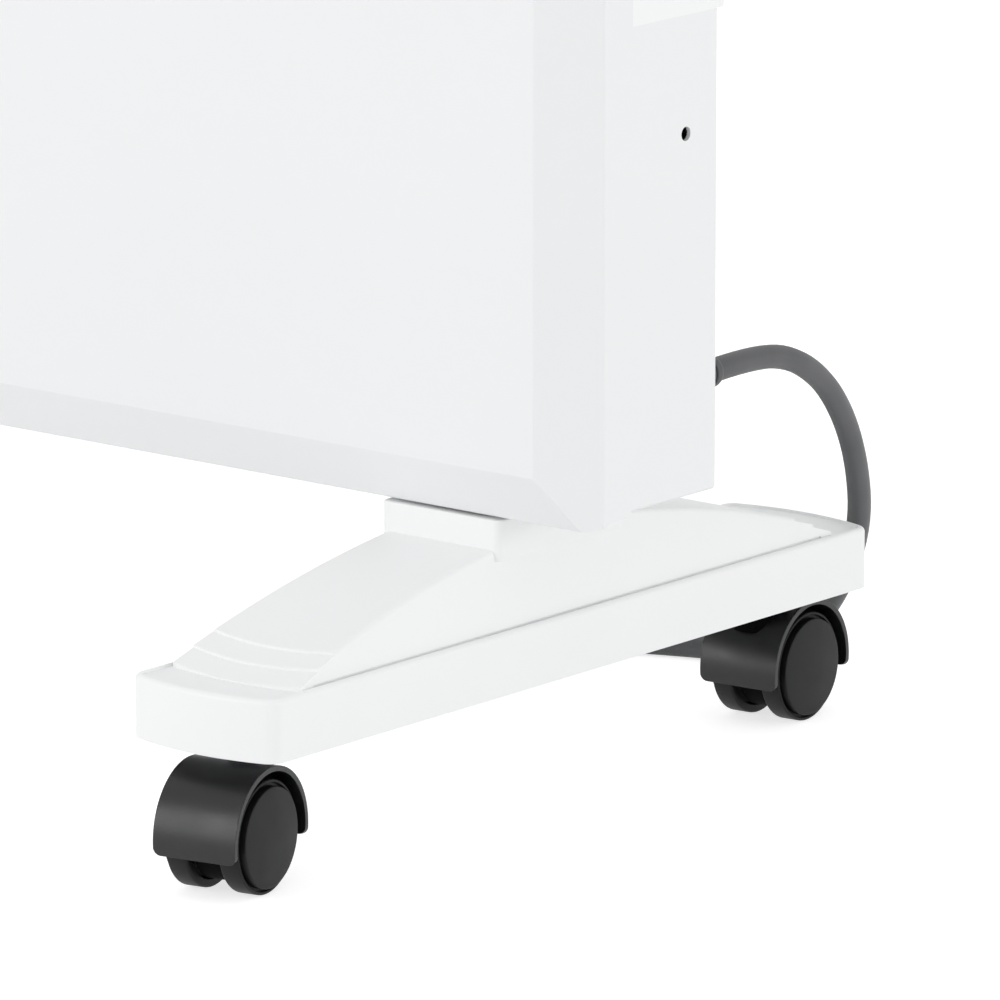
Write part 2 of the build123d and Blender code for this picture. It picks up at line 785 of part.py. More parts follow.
def rocker_frames():
    """The two switch cases behind the panel, each with its frame around the rocker."""
    frames = []
    for z in rocker_tops:
        half_y = rocker_width / 2 + rocker_frame_wall
        half_z = rocker_length / 2 + rocker_frame_wall
        flange = block((panel_floor, knob_y - half_y, z - half_z),
                       (panel_floor + rocker_frame_proud, knob_y + half_y, z + half_z))
        case_y = half_y - rocker_frame_lap
        case_z = half_z - rocker_frame_lap
        case = block((panel_floor - rocker_case_depth, knob_y - case_y, z - case_z),
                     (panel_floor, knob_y + case_y, z + case_z))
        well_y = rocker_width / 2 + rocker_play
        well_z = rocker_length / 2 + rocker_play
        well = block((panel_floor - rocker_depth - 2 * rocker_play, knob_y - well_y, z - well_z),
                     (half_width, knob_y + well_y, z + well_z))
        frames.append(fillet(flange.edges().filter_by(Axis.X), rocker_frame_round) + case - well)
    return Compound(children=frames)


def rocker(z):
    """A rocker key: a shallow V-shaped face on a block, tilted to its rest side."""
    half = rocker_length / 2 - 2 * rocker_play
    depth = rocker_depth - rocker_pivot_depth
    crown = tan(radians(rocker_tilt)) * half
    outline = [
        (-half, -depth / 2),
        (-half / 2, -depth),
        (half / 2, -depth),
        (half, -depth / 2),
        (half, crown + rocker_key_back),
        (0, rocker_key_back),
        (-half, crown + rocker_key_back),
    ]
    place = Plane(origin=(0, 0, 0), x_dir=(0, 0, 1), z_dir=(0, -1, 0))
    key = extrude(place * make_face(Polyline(*outline, close=True)), rocker_width / 2, both=True)
    pivot_x = panel_floor - rocker_pivot_depth + rocker_key_lift
    return Pos(pivot_x, knob_y, z) * Rot(0, -rocker_tilt, 0) * key


def thermostat():
    """The thermostat behind the knob: a case and its control shaft."""
    dish_floor = half_width - knob_dish_depth - panel_recess_depth
    back = dish_floor - housing_wall
    case = rod((back - thermostat_depth, knob_y, knob_z), (1, 0, 0), thermostat_radius, thermostat_depth)
    case -= block((0, knob_y - 2 * thermostat_radius, 0), (body_width, seam + housing_wall, body_top))
    return chamfer(case.edges().filter_by(GeomType.CIRCLE), thermostat_chamfer)


def thermostat_knob():
    """A fluted knob with a skirt, on the thermostat's shaft."""
    dish_floor = half_width - knob_dish_depth - panel_recess_depth
    start = dish_floor + knob_lift
    skirt = rod((start, knob_y, knob_z), (1, 0, 0), knob_skirt_radius, knob_skirt_height)
    grip = rod((start, knob_y, knob_z), (1, 0, 0), knob_radius, knob_height)
    grip = fillet(grip.edges().filter_by(GeomType.CIRCLE).sort_by(Axis.X)[-1], knob_edge_round)
    for i in range(knob_grip_count):
        angle = 2 * pi * i / knob_grip_count
        y = knob_y + (knob_radius + knob_grip_depth) * cos(angle)
        z = knob_z + (knob_radius + knob_grip_depth) * sin(angle)
        grip -= rod((start + knob_skirt_height, y, z), (1, 0, 0), 2 * knob_grip_depth, knob_height)
    half_mark = knob_mark_width / 2
    mark = block((start + knob_height - knob_mark_depth, knob_y - half_mark, knob_z + knob_radius / 3),
                 (half_width, knob_y + half_mark, knob_z + knob_radius - knob_mark_margin))
    shaft_back = dish_floor - housing_wall
    shaft = rod((shaft_back, knob_y, knob_z), (1, 0, 0), shaft_radius, start - shaft_back)
    return skirt + grip - mark + shaft


# ---- Inside ----------------------------------------------------------------------

def element_section():
    """The finned aluminium section: a round core and four fins with cross tips."""
    section = Circle(element_core_radius)
    for corner in range(4):
        flip = 1 if corner in (0, 3) else -1
        base = 90 if corner < 2 else 270
        angle = base + flip * (90 - element_fin_angle) * (1 if corner < 2 else -1)
        reach = element_core_radius + element_fin_length
        fin = Pos(reach / 2, 0) * Rectangle(reach, element_fin_thickness)
        tip = Pos(reach - element_fin_thickness / 2, 0) * Rectangle(element_fin_thickness, element_tip_width)
        mid = Pos(reach * 0.6, 0) * Rectangle(element_fin_thickness, element_tip_width * 0.7)
        section += Rot(0, 0, angle) * (fin + tip + mid)
    return section


def heating_element():
    place = Plane(origin=(0, element_depth_place, element_height), x_dir=(0, 1, 0), z_dir=(1, 0, 0))
    body = extrude(place * element_section(), element_length / 2, both=True)
    return body


def element_terminals():
    """The two end pins of the heating element, each with a flat tab."""
    pins = []
    for side in (-1, 1):
        start = (side * element_length / 2, element_depth_place, element_height)
        pin = rod(start, (side, 0, 0), element_pin_radius, element_pin_length)
        tab_x = side * (element_length / 2 + element_pin_length)
        low_x, high_x = sorted((tab_x, tab_x + side * terminal_tab_length))
        half_tab = terminal_tab_thickness / 2
        tab = block((low_x, element_depth_place - element_pin_radius, element_height - half_tab),
                    (high_x, element_depth_place + element_pin_radius, element_height + half_tab))
        pins.append(pin + tab)
    return Compound(children=pins)


def element_brackets():
    """Steel brackets that hold the element's ends off the rear sheet."""
    brackets = []
    for side in (-1, 1):
        x = side * (element_length / 2 + bracket_gap + bush_length / 2)
        front = element_depth_place - bush_radius - bracket_margin
        bottom = element_height - bracket_height / 2
        top = element_height + bracket_height / 2
        plate = block((x - bracket_thickness / 2, front, bottom), (x + bracket_thickness / 2, rear_wall, top))
        plate = fillet(plate.edges().filter_by(Axis.X).sort_by(Axis.Y)[:2], bracket_corner_round)
        foot_low, foot_high = sorted((x, x + side * bracket_foot))
        plate += block((foot_low, rear_wall - bracket_thickness, bottom), (foot_high, rear_wall, top))
        hole_start = (x - bracket_thickness, element_depth_place, element_height)
        plate -= rod(hole_start, (1, 0, 0), bush_radius - bush_groove_depth, 2 * bracket_thickness)
        brackets.append(plate)
    return Compound(children=brackets)


def element_bushes():
    """Heat-proof bushes between the element pins and the brackets."""
    bushes = []
    for side in (-1, 1):
        middle = side * (element_length / 2 + bracket_gap + bush_length / 2)
        neck_radius = bush_radius - bush_groove_depth
        groove = Cylinder(2 * bush_radius, bracket_thickness) - Cylinder(neck_radius, bracket_thickness)
        bush = Cylinder(bush_radius, bush_length) - groove - Cylinder(element_pin_radius, bush_length)
        bushes.append(Pos(middle, element_depth_place, element_height) * Rot(0, 90, 0) * bush)
    return Compound(children=bushes)


def heat_shield():
    """A bent sheet that keeps the heat of the duct off the rear sheet."""
    half = shield_width / 2
    face = block((-half, shield_depth, shield_bottom), (half, shield_depth + sheet, shield_top))
    low = block((-half, shield_depth, shield_bottom), (half, rear_wall, shield_bottom + sheet))
    high = block((-half, shield_depth, shield_top - sheet), (half, rear_wall, shield_top))
    screw_spaces = bracket_holes(2 * bracket_hole_radius, shield_depth - sheet, 3 * sheet)
    return face + low + high - screw_spaces


def thermal_cutout():
    """The disc cut-out that opens the circuit if the duct overheats."""
    x = shield_width / 2 - 4 * cutout_radius
    z = shield_bottom + 3 * cutout_radius
    disc = rod((x, shield_depth, z), (0, -1, 0), cutout_radius, cutout_height)
    disc = fillet(disc.edges().filter_by(GeomType.CIRCLE).sort_by(Axis.Y)[0], cutout_edge_round)
    ears = block((x - cutout_ear_reach, shield_depth - cutout_ear_thickness, z - cutout_ear_width / 2),
                 (x + cutout_ear_reach, shield_depth, z + cutout_ear_width / 2))
    return disc + ears


def tip_switch():
    """The tip-over switch, on the bottom of the control housing."""
    width, depth, height = tip_switch_size
    low_x = housing_inner + 2 * housing_wall
    low_y = seam + 2 * housing_wall
    low_z = housing_bottom + housing_wall
    case = block((low_x, low_y, low_z), (low_x + width, low_y + depth, low_z + height))
    return chamfer(case.edges().filter_by(Axis.Z), tip_switch_chamfer)


def terminal_block():
    """The mains terminal block on the rear sheet, with three screw wells."""
    width, depth, height = block_size
    low = (block_place_x - width / 2, rear_wall - depth, block_place_z)
    case = block(low, (block_place_x + width / 2, rear_wall, block_place_z + height))
    for i in range(3):
        x = block_place_x + (i - 1) * width / 3
        case -= rod((x, low[1], block_place_z + height / 2), (0, 1, 0), width / 12, depth / 2)
    return case


def wire(points):
    """An inside wire along straight runs with rounded turns."""
    path = FilletPolyline(*points, radius=4 * wire_radius)
    section = Plane(origin=path @ 0, z_dir=path % 0) * Circle(wire_radius)
    return sweep(section, path=path)


def inside_wires():
    """Wires from the terminal block to the tip switch, the switches and the element."""
    width, depth, height = block_size
    block_top = block_place_z + height
    block_y = rear_wall - depth / 2
    element_end = element_length / 2 + element_pin_length + terminal_tab_length
    turn_x = element_end + wire_clearance
    left_x = block_place_x - width / 3
    to_element = wire([
        (left_x, block_y, block_place_z),
        (left_x, block_y, block_place_z - wire_drop),
        (turn_x, block_y - wire_drop / 2, block_place_z - 2 * wire_drop),
        (turn_x, element_depth_place, element_height),
        (element_end, element_depth_place, element_height),
    ])
    corridor_x = housing_inner - wire_corridor_inset
    wall_y = rear_wall - wire_wall_gap
    over_z = shield_top + wire_clearance
    to_left = wire([
        (block_place_x, block_y, block_top),
        (block_place_x, block_y, block_top + wire_drop),
        (corridor_x, wall_y, over_z),
        (-corridor_x, wall_y, over_z),
        (-corridor_x, wall_y, element_height + 3 * wire_drop),
        (-turn_x, element_depth_place, element_height),
        (-element_end, element_depth_place, element_height),
    ])
    return Compound(children=[to_element, to_left])


def cover_screws():
    """Pan-head screws that hold the front pan to the rear tray along the bottom."""
    screws = []
    flange_bottom = rear_bottom - sheet
    for side in (-1, 1):
        x = side * cover_screw_spacing / 2
        y = seam - lap / 2
        head = rod((x, y, flange_bottom), (0, 0, -1), cover_screw_head_radius, cover_screw_head_height)
        head = fillet(head.edges().sort_by(Axis.Z)[0], cover_screw_head_round)
        shank = rod((x, y, flange_bottom), (0, 0, 1), cover_screw_radius, cover_screw_reach)
        screws.append(head + shank)
    return Compound(children=screws)


# ---- Supply cord ---------------------------------------------------------------------

# The points that the cord follows from its strain relief down to the coil.
lead_route = [
    (gland_x, rear_face + relief_length + gland_flange_height, gland_z),
    (gland_x, 62.0, 119.6),
    (290.5, 80.0, 117.0),
    (288.5, 98.0, 107.5),
    (284.5, 114.0, 93.0),
    (278.0, 129.0, 75.0),
    (268.0, 144.0, 54.0),
    (253.0, 156.0, 32.0),
    (235.0, 163.5, 13.0),
    (214.0, 163.5, 3.6),
    (192.0, 157.5, cord_radius),
    (172.0, 149.0, cord_radius),
    (152.0, 143.8, cord_radius),
    (coil_centre[0], coil_centre[1] - coil_outer + cord_radius, cord_radius),
]

# The points from the coil's upper turn over the lead to the plug.
tail_route = [
    (coil_centre[0] + coil_outer - cord_radius, coil_centre[1], tie_thickness + coil_height - cord_radius),
    (coil_centre[0] + coil_outer - cord_radius - 0.5, coil_centre[1] - 18.0, 13.5),
    (171.5, 150.0, 17.5),
    (167.5, 133.0, 19.2),
    (plug_face[0], plug_face[1] + plug_flange_depth + plug_grip_length + plug_tail_length, plug_radius),
]


def corner_radii(route):
    """For each corner, the largest arc that its two runs allow."""
    points = [Vector(*p) for p in route]
    radii = []
    for i in range(1, len(points) - 1):
        before = points[i] - points[i - 1]
        after = points[i + 1] - points[i]
        half_turn = radians(before.get_angle(after)) / 2
        radii.append(0.45 * min(before.length, after.length) / tan(half_turn))
    return radii


def cord_tube(name, route):
    radii = corner_radii(route)
    path = FilletPolyline(*route, radius=radii)
    section = Plane(origin=path @ 0, z_dir=path % 0) * Circle(cord_radius)
    tube = sweep(section, path=path)
    print(name, "radii", [round(r, 1) for r in radii])
    share = tube.volume / (pi * cord_radius ** 2 * path.length)
    print(name, "length", round(path.length, 1), "volume share", round(share, 4))
    return tube


def cord_coil():
    """The wound length of cord as one ring of its outer size."""
    outer = coil_outer
    inner = coil_outer - coil_band
    middle = (outer + inner) / 2
    outline = RectangleRounded(coil_band, coil_height, 0.9 * cord_radius)
    section = Pos(middle, tie_thickness + coil_height / 2) * outline
    ring = revolve(Plane.XZ * section, Axis.Z)
    return Pos(coil_centre[0], coil_centre[1], 0) * ring


def cord_tie():
    """A flat strap round the coil's turns."""
    middle = coil_outer - coil_band / 2
    outer = Box(coil_band + 2 * tie_thickness, tie_width, coil_height + 2 * tie_thickness)
    inner = Box(coil_band, tie_width, coil_height)
    strap = Pos(middle, 0, coil_height / 2 + tie_thickness) * (outer - inner)
    return Pos(coil_centre[0], coil_centre[1], 0) * Rot(0, 0, tie_angle) * strap


def cord_gland():
    """The bush in the rear sheet, with its tapered strain relief."""
    flange = rod((gland_x, rear_face, gland_z), (0, 1, 0), gland_flange_radius, gland_flange_height)
    flange = fillet(flange.edges().filter_by(GeomType.CIRCLE).sort_by(Axis.Y)[-1], gland_edge_round)
    neck_start = (gland_x, rear_wall - gland_inner_length, gland_z)
    neck = rod(neck_start, (0, 1, 0), gland_neck_radius, sheet + gland_inner_length)
    relief_middle = rear_face + gland_flange_height + relief_length / 2
    relief = taper((gland_x, relief_middle, gland_z), relief_root_radius, relief_tip_radius, relief_length)
    return flange + neck + relief


def plug_body():
    """The plug lying on its rim: round face, waisted grip and tapered tail."""
    x, y = plug_face
    flange = rod((x, y, plug_radius), (0, 1, 0), plug_radius, plug_flange_depth)
    flange = fillet(flange.edges().filter_by(GeomType.CIRCLE), plug_edge_round)
    grip_middle = y + plug_flange_depth + plug_grip_length / 2
    grip = taper((x, grip_middle, plug_radius), plug_grip_root_radius, plug_grip_end_radius, plug_grip_length)
    tail_middle = grip_middle + (plug_grip_length + plug_tail_length) / 2
    tail = taper((x, tail_middle, plug_radius), relief_root_radius, relief_tip_radius, plug_tail_length)
    return flange + grip + tail


def plug_pins():
    x, y = plug_face
    pins = []
    for side in (-1, 1):
        start = (x + side * plug_pin_spacing / 2, y, plug_radius)
        pin = rod(start, (0, -1, 0), plug_pin_radius, plug_pin_length)
        pins.append(fillet(pin.edges().filter_by(GeomType.CIRCLE).sort_by(Axis.Y)[0], plug_pin_tip_round))
    return Compound(children=pins)


# ---- Build every piece ------------------------------------------------------------------
os.makedirs("parts", exist_ok=True)

write("front_cover", front_cover())
write("outlet_grille", outlet_grille())
write("rear_cover", rear_cover())
write("control_housing", control_housing())
write("grip_housing", side_housing(-1))
write("thermostat", thermostat())
write("thermostat_knob", thermostat_knob())
write("rocker_frames", rocker_frames())
write("power_rocker", rocker(rocker_tops[0]))
write("heat_rocker", rocker(rocker_tops[1]))
write("heating_element", heating_element())
write("element_terminals", element_terminals())
write("element_brackets", element_brackets())
write("element_bushes", element_bushes())
write("heat_shield", heat_shield())
write("thermal_cutout", thermal_cutout())
write("tip_switch", tip_switch())
write("terminal_block", terminal_block())
write("inside_wires", inside_wires())
write("cover_screws", cover_screws())
write("cord_gland", cord_gland())
write("foot_right", Pos(foot_centre_x, 0, 0) * foot())
write("foot_left", Pos(-foot_centre_x, 0, 0) * foot())
write("foot_screws", foot_screws())
write("castor_sockets", castor_sockets())
write_castors()
write("supply_cord", cord_tube("supply_cord", lead_route))
write("cord_coil", cord_coil())
write("cord_tail", cord_tube("cord_tail", tail_route))
write("cord_tie", cord_tie())
write("plug_body", plug_body())
write("plug_pins", plug_pins())
print("stems at Y", round(stem_front, 2), round(stem_rear, 2), "foot underside", round(foot_bottom, 2))
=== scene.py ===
"""Looks for the mobile panel convector heater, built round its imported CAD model.

Metres, +Z up, the floor at Z = 0 and the front panel facing -Y, as in the frame.
"""
import json
import math
from typing import NamedTuple

import bmesh
import bpy
from bpy.props import FloatProperty, FloatVectorProperty, IntProperty, PointerProperty
from mathutils import Matrix, Vector

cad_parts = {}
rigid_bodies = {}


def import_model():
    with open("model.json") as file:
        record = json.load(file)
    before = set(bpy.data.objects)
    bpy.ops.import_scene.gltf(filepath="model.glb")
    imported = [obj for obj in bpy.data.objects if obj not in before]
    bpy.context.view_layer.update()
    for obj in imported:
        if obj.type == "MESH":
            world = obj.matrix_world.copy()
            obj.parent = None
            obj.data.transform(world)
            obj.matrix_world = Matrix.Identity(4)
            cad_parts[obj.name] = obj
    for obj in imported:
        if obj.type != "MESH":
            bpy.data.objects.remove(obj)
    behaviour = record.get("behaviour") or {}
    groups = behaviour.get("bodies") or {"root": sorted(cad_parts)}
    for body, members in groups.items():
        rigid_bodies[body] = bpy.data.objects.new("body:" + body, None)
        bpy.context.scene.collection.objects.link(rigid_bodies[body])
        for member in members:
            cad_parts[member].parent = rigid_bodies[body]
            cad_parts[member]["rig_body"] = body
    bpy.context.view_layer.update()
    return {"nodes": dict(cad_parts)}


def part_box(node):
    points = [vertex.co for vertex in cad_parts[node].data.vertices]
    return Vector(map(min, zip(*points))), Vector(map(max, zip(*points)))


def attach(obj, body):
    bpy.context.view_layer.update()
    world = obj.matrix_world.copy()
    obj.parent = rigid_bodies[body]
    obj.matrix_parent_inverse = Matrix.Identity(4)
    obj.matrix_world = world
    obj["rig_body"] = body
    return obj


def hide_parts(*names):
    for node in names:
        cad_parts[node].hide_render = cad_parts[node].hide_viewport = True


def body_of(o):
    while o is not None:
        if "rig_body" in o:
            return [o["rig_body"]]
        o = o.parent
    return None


bl_info = {
    "name": "Mobile Panel Heater",
    "version": (1, 0, 0),
    "blender": (4, 5, 0),
    "location": "3D View > Sidebar > Heater",
    "description": "Builds the looks of a panel convector heater on castor feet",
    "category": "Object",
}

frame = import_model()
MM = 0.001


# ---- Small tools -----------------------------------------------------------------

def linear(text):
    """An sRGB hex colour as a linear RGBA tuple."""
    channels = [int(text[i:i + 2], 16) / 255 for i in (0, 2, 4)]
    return (*[c / 12.92 if c <= 0.04045 else ((c + 0.055) / 1.055) ** 2.4 for c in channels], 1.0)


def shade(colour, factor):
    """The same colour, a little lighter or darker."""
    return (*[min(c * factor, 1.0) for c in colour[:3]], 1.0)


def node(tree, kind, inputs=None, **settings):
    """Adds a node, makes its settings, and sets or links its inputs."""
    made = tree.nodes.new(kind)
    for name, value in settings.items():
        setattr(made, name, value)
    for name, value in (inputs or {}).items():
        if isinstance(value, bpy.types.NodeSocket):
            tree.links.new(value, made.inputs[name])
        else:
            made.inputs[name].default_value = value
    return made


def bare_tree(owner):
    """The emptied node tree of a material or of the world."""
    owner.use_nodes = True
    owner.node_tree.nodes.clear()
    return owner.node_tree


def shader(name, colour, constants):
    """A material with a principled shader. Returns the material, its tree and the shader."""
    material = bpy.data.materials.new(name)
    material.diffuse_color = colour
    tree = bare_tree(material)
    principled = node(tree, "ShaderNodeBsdfPrincipled", constants)
    node(tree, "ShaderNodeOutputMaterial", {"Surface": principled.outputs["BSDF"]})
    return material, tree, principled


def linked(name, data):
    """A new object in the scene."""
    made = bpy.data.objects.new(name, data)
    bpy.context.scene.collection.objects.link(made)
    return made


# ---- Sizes and colours that a user would change -------------------------------------

class HEATER_PG_colours(bpy.types.PropertyGroup):
    """Base colours of the finishes"""

    def colour(name, description, text):
        return FloatVectorProperty(name=name, description=description, subtype="COLOR", size=4, min=0, max=1,
                                   default=linear(text))

    paint: colour("Paint", "Powder coat of the front and rear sheets", "F1F2F3")
    plastic: colour("White plastic", "Feet and end housings", "F7F8F8")
    castor: colour("Castor", "Black nylon of hoods and wheels", "0E0E10")
    sheath: colour("Cord sheath", "Dark grey sheath of the supply cord", "545557")
    controls: colour("Controls", "Knob and rockers", "C9CBCD")
    ink: colour("Ink", "Printed marks of the controls", "4A4C50")
    metal: colour("Zinc", "Zinc plating of stems, axles and screws", "B9BDC1")
    aluminium: colour("Aluminium", "Heating element", "B4B7BA")
    brass: colour("Plated brass", "Pins and earth strips of the plug", "C8C2B4")
    ceramic: colour("Ceramic", "Bushes of the heating element", "E6E0D2")
    phenolic: colour("Phenolic", "Switches, terminal block and cut-out", "2B2623")
    silicone: colour("Silicone", "Insulation of the inside wires", "D9D6CF")


class HEATER_PG_cord(bpy.types.PropertyGroup):
    """Sizes of the supply cord and its coil"""

    diameter: FloatProperty(name="Diameter", description="Outer diameter of the cord", default=6.8 * MM,
                            unit="LENGTH")
    ring_radius: FloatProperty(name="Coil radius", description="Radius of the coil's middle turns",
                               default=37.0 * MM, unit="LENGTH")
    points_per_turn: IntProperty(name="Points per turn", description="Control points of each coil turn",
                                 default=16, min=12)


class HEATER_PG_castor(bpy.types.PropertyGroup):
    """Sizes and rest positions of the castors"""

    wheel_radius: FloatProperty(name="Wheel radius", description="Radius of the twin wheels",
                                default=15.8 * MM, unit="LENGTH")
    hood_radius: FloatProperty(name="Hood radius", description="Outer radius of the hood",
                               default=19.6 * MM, unit="LENGTH")
    trail: FloatProperty(name="Trail", description="Distance from the stem to the axle", default=10.5 * MM,
                         unit="LENGTH")
    swivel_front: FloatProperty(name="Front swivel", description="Turn of the front castors at rest",
                                default=math.radians(10.0), unit="ROTATION")
    swivel_rear: FloatProperty(name="Rear swivel", description="Turn of the rear castors at rest",
                               default=math.radians(4.6), unit="ROTATION")


# ---- Materials ---------------------------------------------------------------------

class Finish(NamedTuple):
    """A real finish, and how its grain, gloss and tone lie on the surface. Lengths in millimetres."""

    name: str
    colour: str      # one of the sidebar's colours
    tint: float      # factor on that colour
    drift: float     # factor on the tinted colour at the far end of its drift
    gloss: tuple     # lowest and highest roughness
    grain: float     # size of the relief's grain
    relief: float    # height of the grain
    patch: float     # size of the patches over which gloss and tone drift
    constants: dict  # the shader's other inputs
    stretch: tuple = (1, 1, 1)


FINISHES = {
    # Polyester powder coat on steel: satin, with a faint orange peel a millimetre or two across.
    "paint": Finish("powder_coated_steel", "paint", 1, 0.985, (0.38, 0.46), 1.6, 0.012, 90, {"IOR": 1.5}),
    # Moulded ABS: slightly duller than the paint, with the fine spark grain of the mould.
    "abs": Finish("moulded_abs_white", "plastic", 1, 0.985, (0.42, 0.54), 0.5, 0.012, 45, {"IOR": 1.53}),
    # Moulded ABS of the controls: light grey, satin from handling.
    "controls": Finish("moulded_abs_grey", "controls", 1, 0.95, (0.34, 0.46), 0.4, 0.008, 12, {"IOR": 1.53}),
    # Moulded nylon of the castor hoods: black, satin, with soft flow marks a few millimetres wide.
    "hood": Finish("moulded_nylon_black", "castor", 1, 1.6, (0.28, 0.44), 0.35, 0.02, 9,
                   {"IOR": 1.53, "Specular IOR Level": 0.44}),
    # Nylon of the wheels: the same black, duller from its turned and tumbled finish.
    "wheel": Finish("tumbled_nylon_black", "castor", 1.12, 1.4, (0.44, 0.56), 0.3, 0.018, 7,
                    {"IOR": 1.53, "Specular IOR Level": 0.21}),
    # The web between the wheels: the same black nylon, left rough by the mould and never lit; its colour is
    # darkened to 0.15 of the nylon's as painted shade for the gap between the wheels.
    "web": Finish("rough_nylon_black", "castor", 0.15, 1.3, (0.74, 0.86), 0.5, 0.02, 5,
                  {"IOR": 1.53, "Specular IOR Level": 0.06}),
    # Extruded PVC sheath: dark grey, soft sheen, with fine marks and slight scuffs.
    "cord": Finish("extruded_pvc_grey", "sheath", 1, 0.8, (0.42, 0.6), 0.8, 0.03, 14, {"IOR": 1.53}),
    # Moulded soft PVC of plug, bush and strain relief: dark grey, matt, pebbled.
    "plug": Finish("moulded_pvc_grey", "sheath", 0.9, 0.85, (0.48, 0.62), 0.45, 0.03, 8, {"IOR": 1.53}),
    # Woven nylon hook-and-loop tape: black, dull, with a fuzzy weave about a millimetre wide.
    "tape": Finish("woven_nylon_tape", "castor", 0.8, 1.6, (0.8, 0.95), 0.9, 0.12, 2, {"Sheen Weight": 0.4}),
    # Zinc-plated steel: pale bluish metal, with the soft clouding of the bath.
    "zinc": Finish("zinc_plated_steel", "metal", 1, 0.82, (0.26, 0.44), 0.6, 0.008, 5, {"Metallic": 1.0}),
    # Extruded aluminium: silvery, with fine die lines along its length, which lies along X.
    "aluminium": Finish("extruded_aluminium", "aluminium", 1, 0.88, (0.3, 0.42), 0.5, 0.02, 20,
                        {"Metallic": 1.0}, stretch=(0.02, 1, 1)),
    # Nickel-plated brass pins: warm pale metal, polished, with fine drawing marks.
    "pins": Finish("nickel_plated_brass", "brass", 1, 0.88, (0.16, 0.3), 0.3, 0.005, 4, {"Metallic": 1.0}),
    # Steatite ceramic of the element's bushes: chalky off-white, unglazed.
    "ceramic": Finish("steatite_ceramic", "ceramic", 1, 0.92, (0.62, 0.78), 0.35, 0.02, 3, {"IOR": 1.55}),
    # Phenolic moulding of switches, block and cut-out: brown-black with a dull gloss.
    "phenolic": Finish("phenolic_moulding", "phenolic", 1, 1.4, (0.38, 0.5), 0.5, 0.01, 6, {"IOR": 1.6}),
    # Silicone wire insulation: dull off-white with a soft surface.
    "silicone": Finish("silicone_rubber", "silicone", 1, 0.93, (0.56, 0.7), 0.6, 0.02, 15, {"IOR": 1.41}),
    # Pad-printed ink of the control marks: dark grey, thin and slightly glossy, a little uneven.
    "print": Finish("pad_printed_ink", "ink", 1, 1.2, (0.34, 0.48), 0.25, 0.004, 1.5, {"IOR": 1.5}),
}
# Size of the crystal patches on the galvanised sheet, in millimetres, and the materials made so far.
CRYSTAL_MM = 9
made_materials = {}


def grained(finish, colours):
    """A material with a finish's relief, and a slow change of gloss and tone over the surface."""
    near = shade(getattr(colours, finish.colour), finish.tint)
    material, tree, principled = shader(finish.name, near, finish.constants)
    place = node(tree, "ShaderNodeTexCoord").outputs["Object"]
    laid = node(tree, "ShaderNodeMapping", {"Vector": place, "Scale": finish.stretch}).outputs["Vector"]
    fine = node(tree, "ShaderNodeTexNoise", {"Vector": laid, "Scale": 1 / (finish.grain * MM), "Detail": 3.0})
    bump = node(tree, "ShaderNodeBump", {"Height": fine.outputs["Fac"], "Distance": finish.relief * MM,
                                         "Strength": 1.0})
    tree.links.new(bump.outputs["Normal"], principled.inputs["Normal"])
    patches = node(tree, "ShaderNodeTexNoise", {"Vector": place, "Scale": 1 / (finish.patch * MM),
                                                "Detail": 2.0}).outputs["Fac"]
    rough = node(tree, "ShaderNodeMapRange", {"Value": patches, "To Min": finish.gloss[0],
                                              "To Max": finish.gloss[1]})
    tree.links.new(rough.outputs["Result"], principled.inputs["Roughness"])
    tone = node(tree, "ShaderNodeMix", {0: patches, 6: near, 7: shade(near, finish.drift)}, data_type="RGBA")
    tree.links.new(tone.outputs[2], principled.inputs["Base Color"])
    return material


def galvanised_sheet(colours):
    """Galvanised sheet: flat grey metal with crystal patches some millimetres across."""
    material, tree, principled = shader("galvanised_sheet", colours.metal, {"Metallic": 1.0})
    place = node(tree, "ShaderNodeTexCoord").outputs["Object"]
    cells = node(tree, "ShaderNodeTexVoronoi", {"Vector": place, "Scale": 1 / (CRYSTAL_MM * MM)})
    rough = node(tree, "ShaderNodeMapRange", {"Value": cells.outputs["Color"], "To Min": 0.3,
                                              "To Max": 0.5}).outputs["Result"]
    tree.links.new(rough, principled.inputs["Roughness"])
    tone = node(tree, "ShaderNodeMix", {0: rough, 6: colours.metal, 7: shade(colours.metal, 0.7)},
                data_type="RGBA")
    tree.links.new(tone.outputs[2], principled.inputs["Base Color"])
    return material


def material_of(kind):
    """The material of that kind, made at its first use."""
    if kind not in made_materials:
        colours = bpy.context.scene.heater_colours
        made_materials[kind] = (galvanised_sheet(colours) if kind == "galvanised"
                                else grained(FINISHES[kind], colours))
    return made_materials[kind]


# ---- Meshes ------------------------------------------------------------------------

def box_of(name):
    """Lower corner, upper corner and middle of a CAD node."""
    low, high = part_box(name)
    return low, high, (low + high) / 2


def dress(name, kind):
    """Gives a CAD node its material."""
    part = frame["nodes"][name]
    part.data.materials.clear()
    part.data.materials.append(material_of(kind))


def place_piece(piece, kind, node_name, replaces=True):
    """Puts a finished piece in the part, riding with the node that it stands for or sits on."""
    if not piece.data.materials:
        piece.data.materials.append(material_of(kind))
    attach(piece, body_of(frame["nodes"][node_name])[0])
    if replaces:
        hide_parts(node_name)


def smooth(mesh, sharp):
    """Smooth faces, with sharp edges where they meet past an angle in degrees."""
    mesh.polygons.foreach_set("use_smooth", [True] * len(mesh.polygons))
    mesh.set_sharp_from_angle(angle=math.radians(sharp))


def mesh_piece(name, bm, sharp=35.0, place=Matrix.Identity(4)):
    """An object at the origin from a bmesh, with its place in the mesh and smooth curved faces."""
    bm.transform(place)
    bmesh.ops.recalc_face_normals(bm, faces=bm.faces)
    mesh = bpy.data.meshes.new(name)
    bm.to_mesh(mesh)
    bm.free()
    smooth(mesh, sharp)
    return linked(name, mesh)


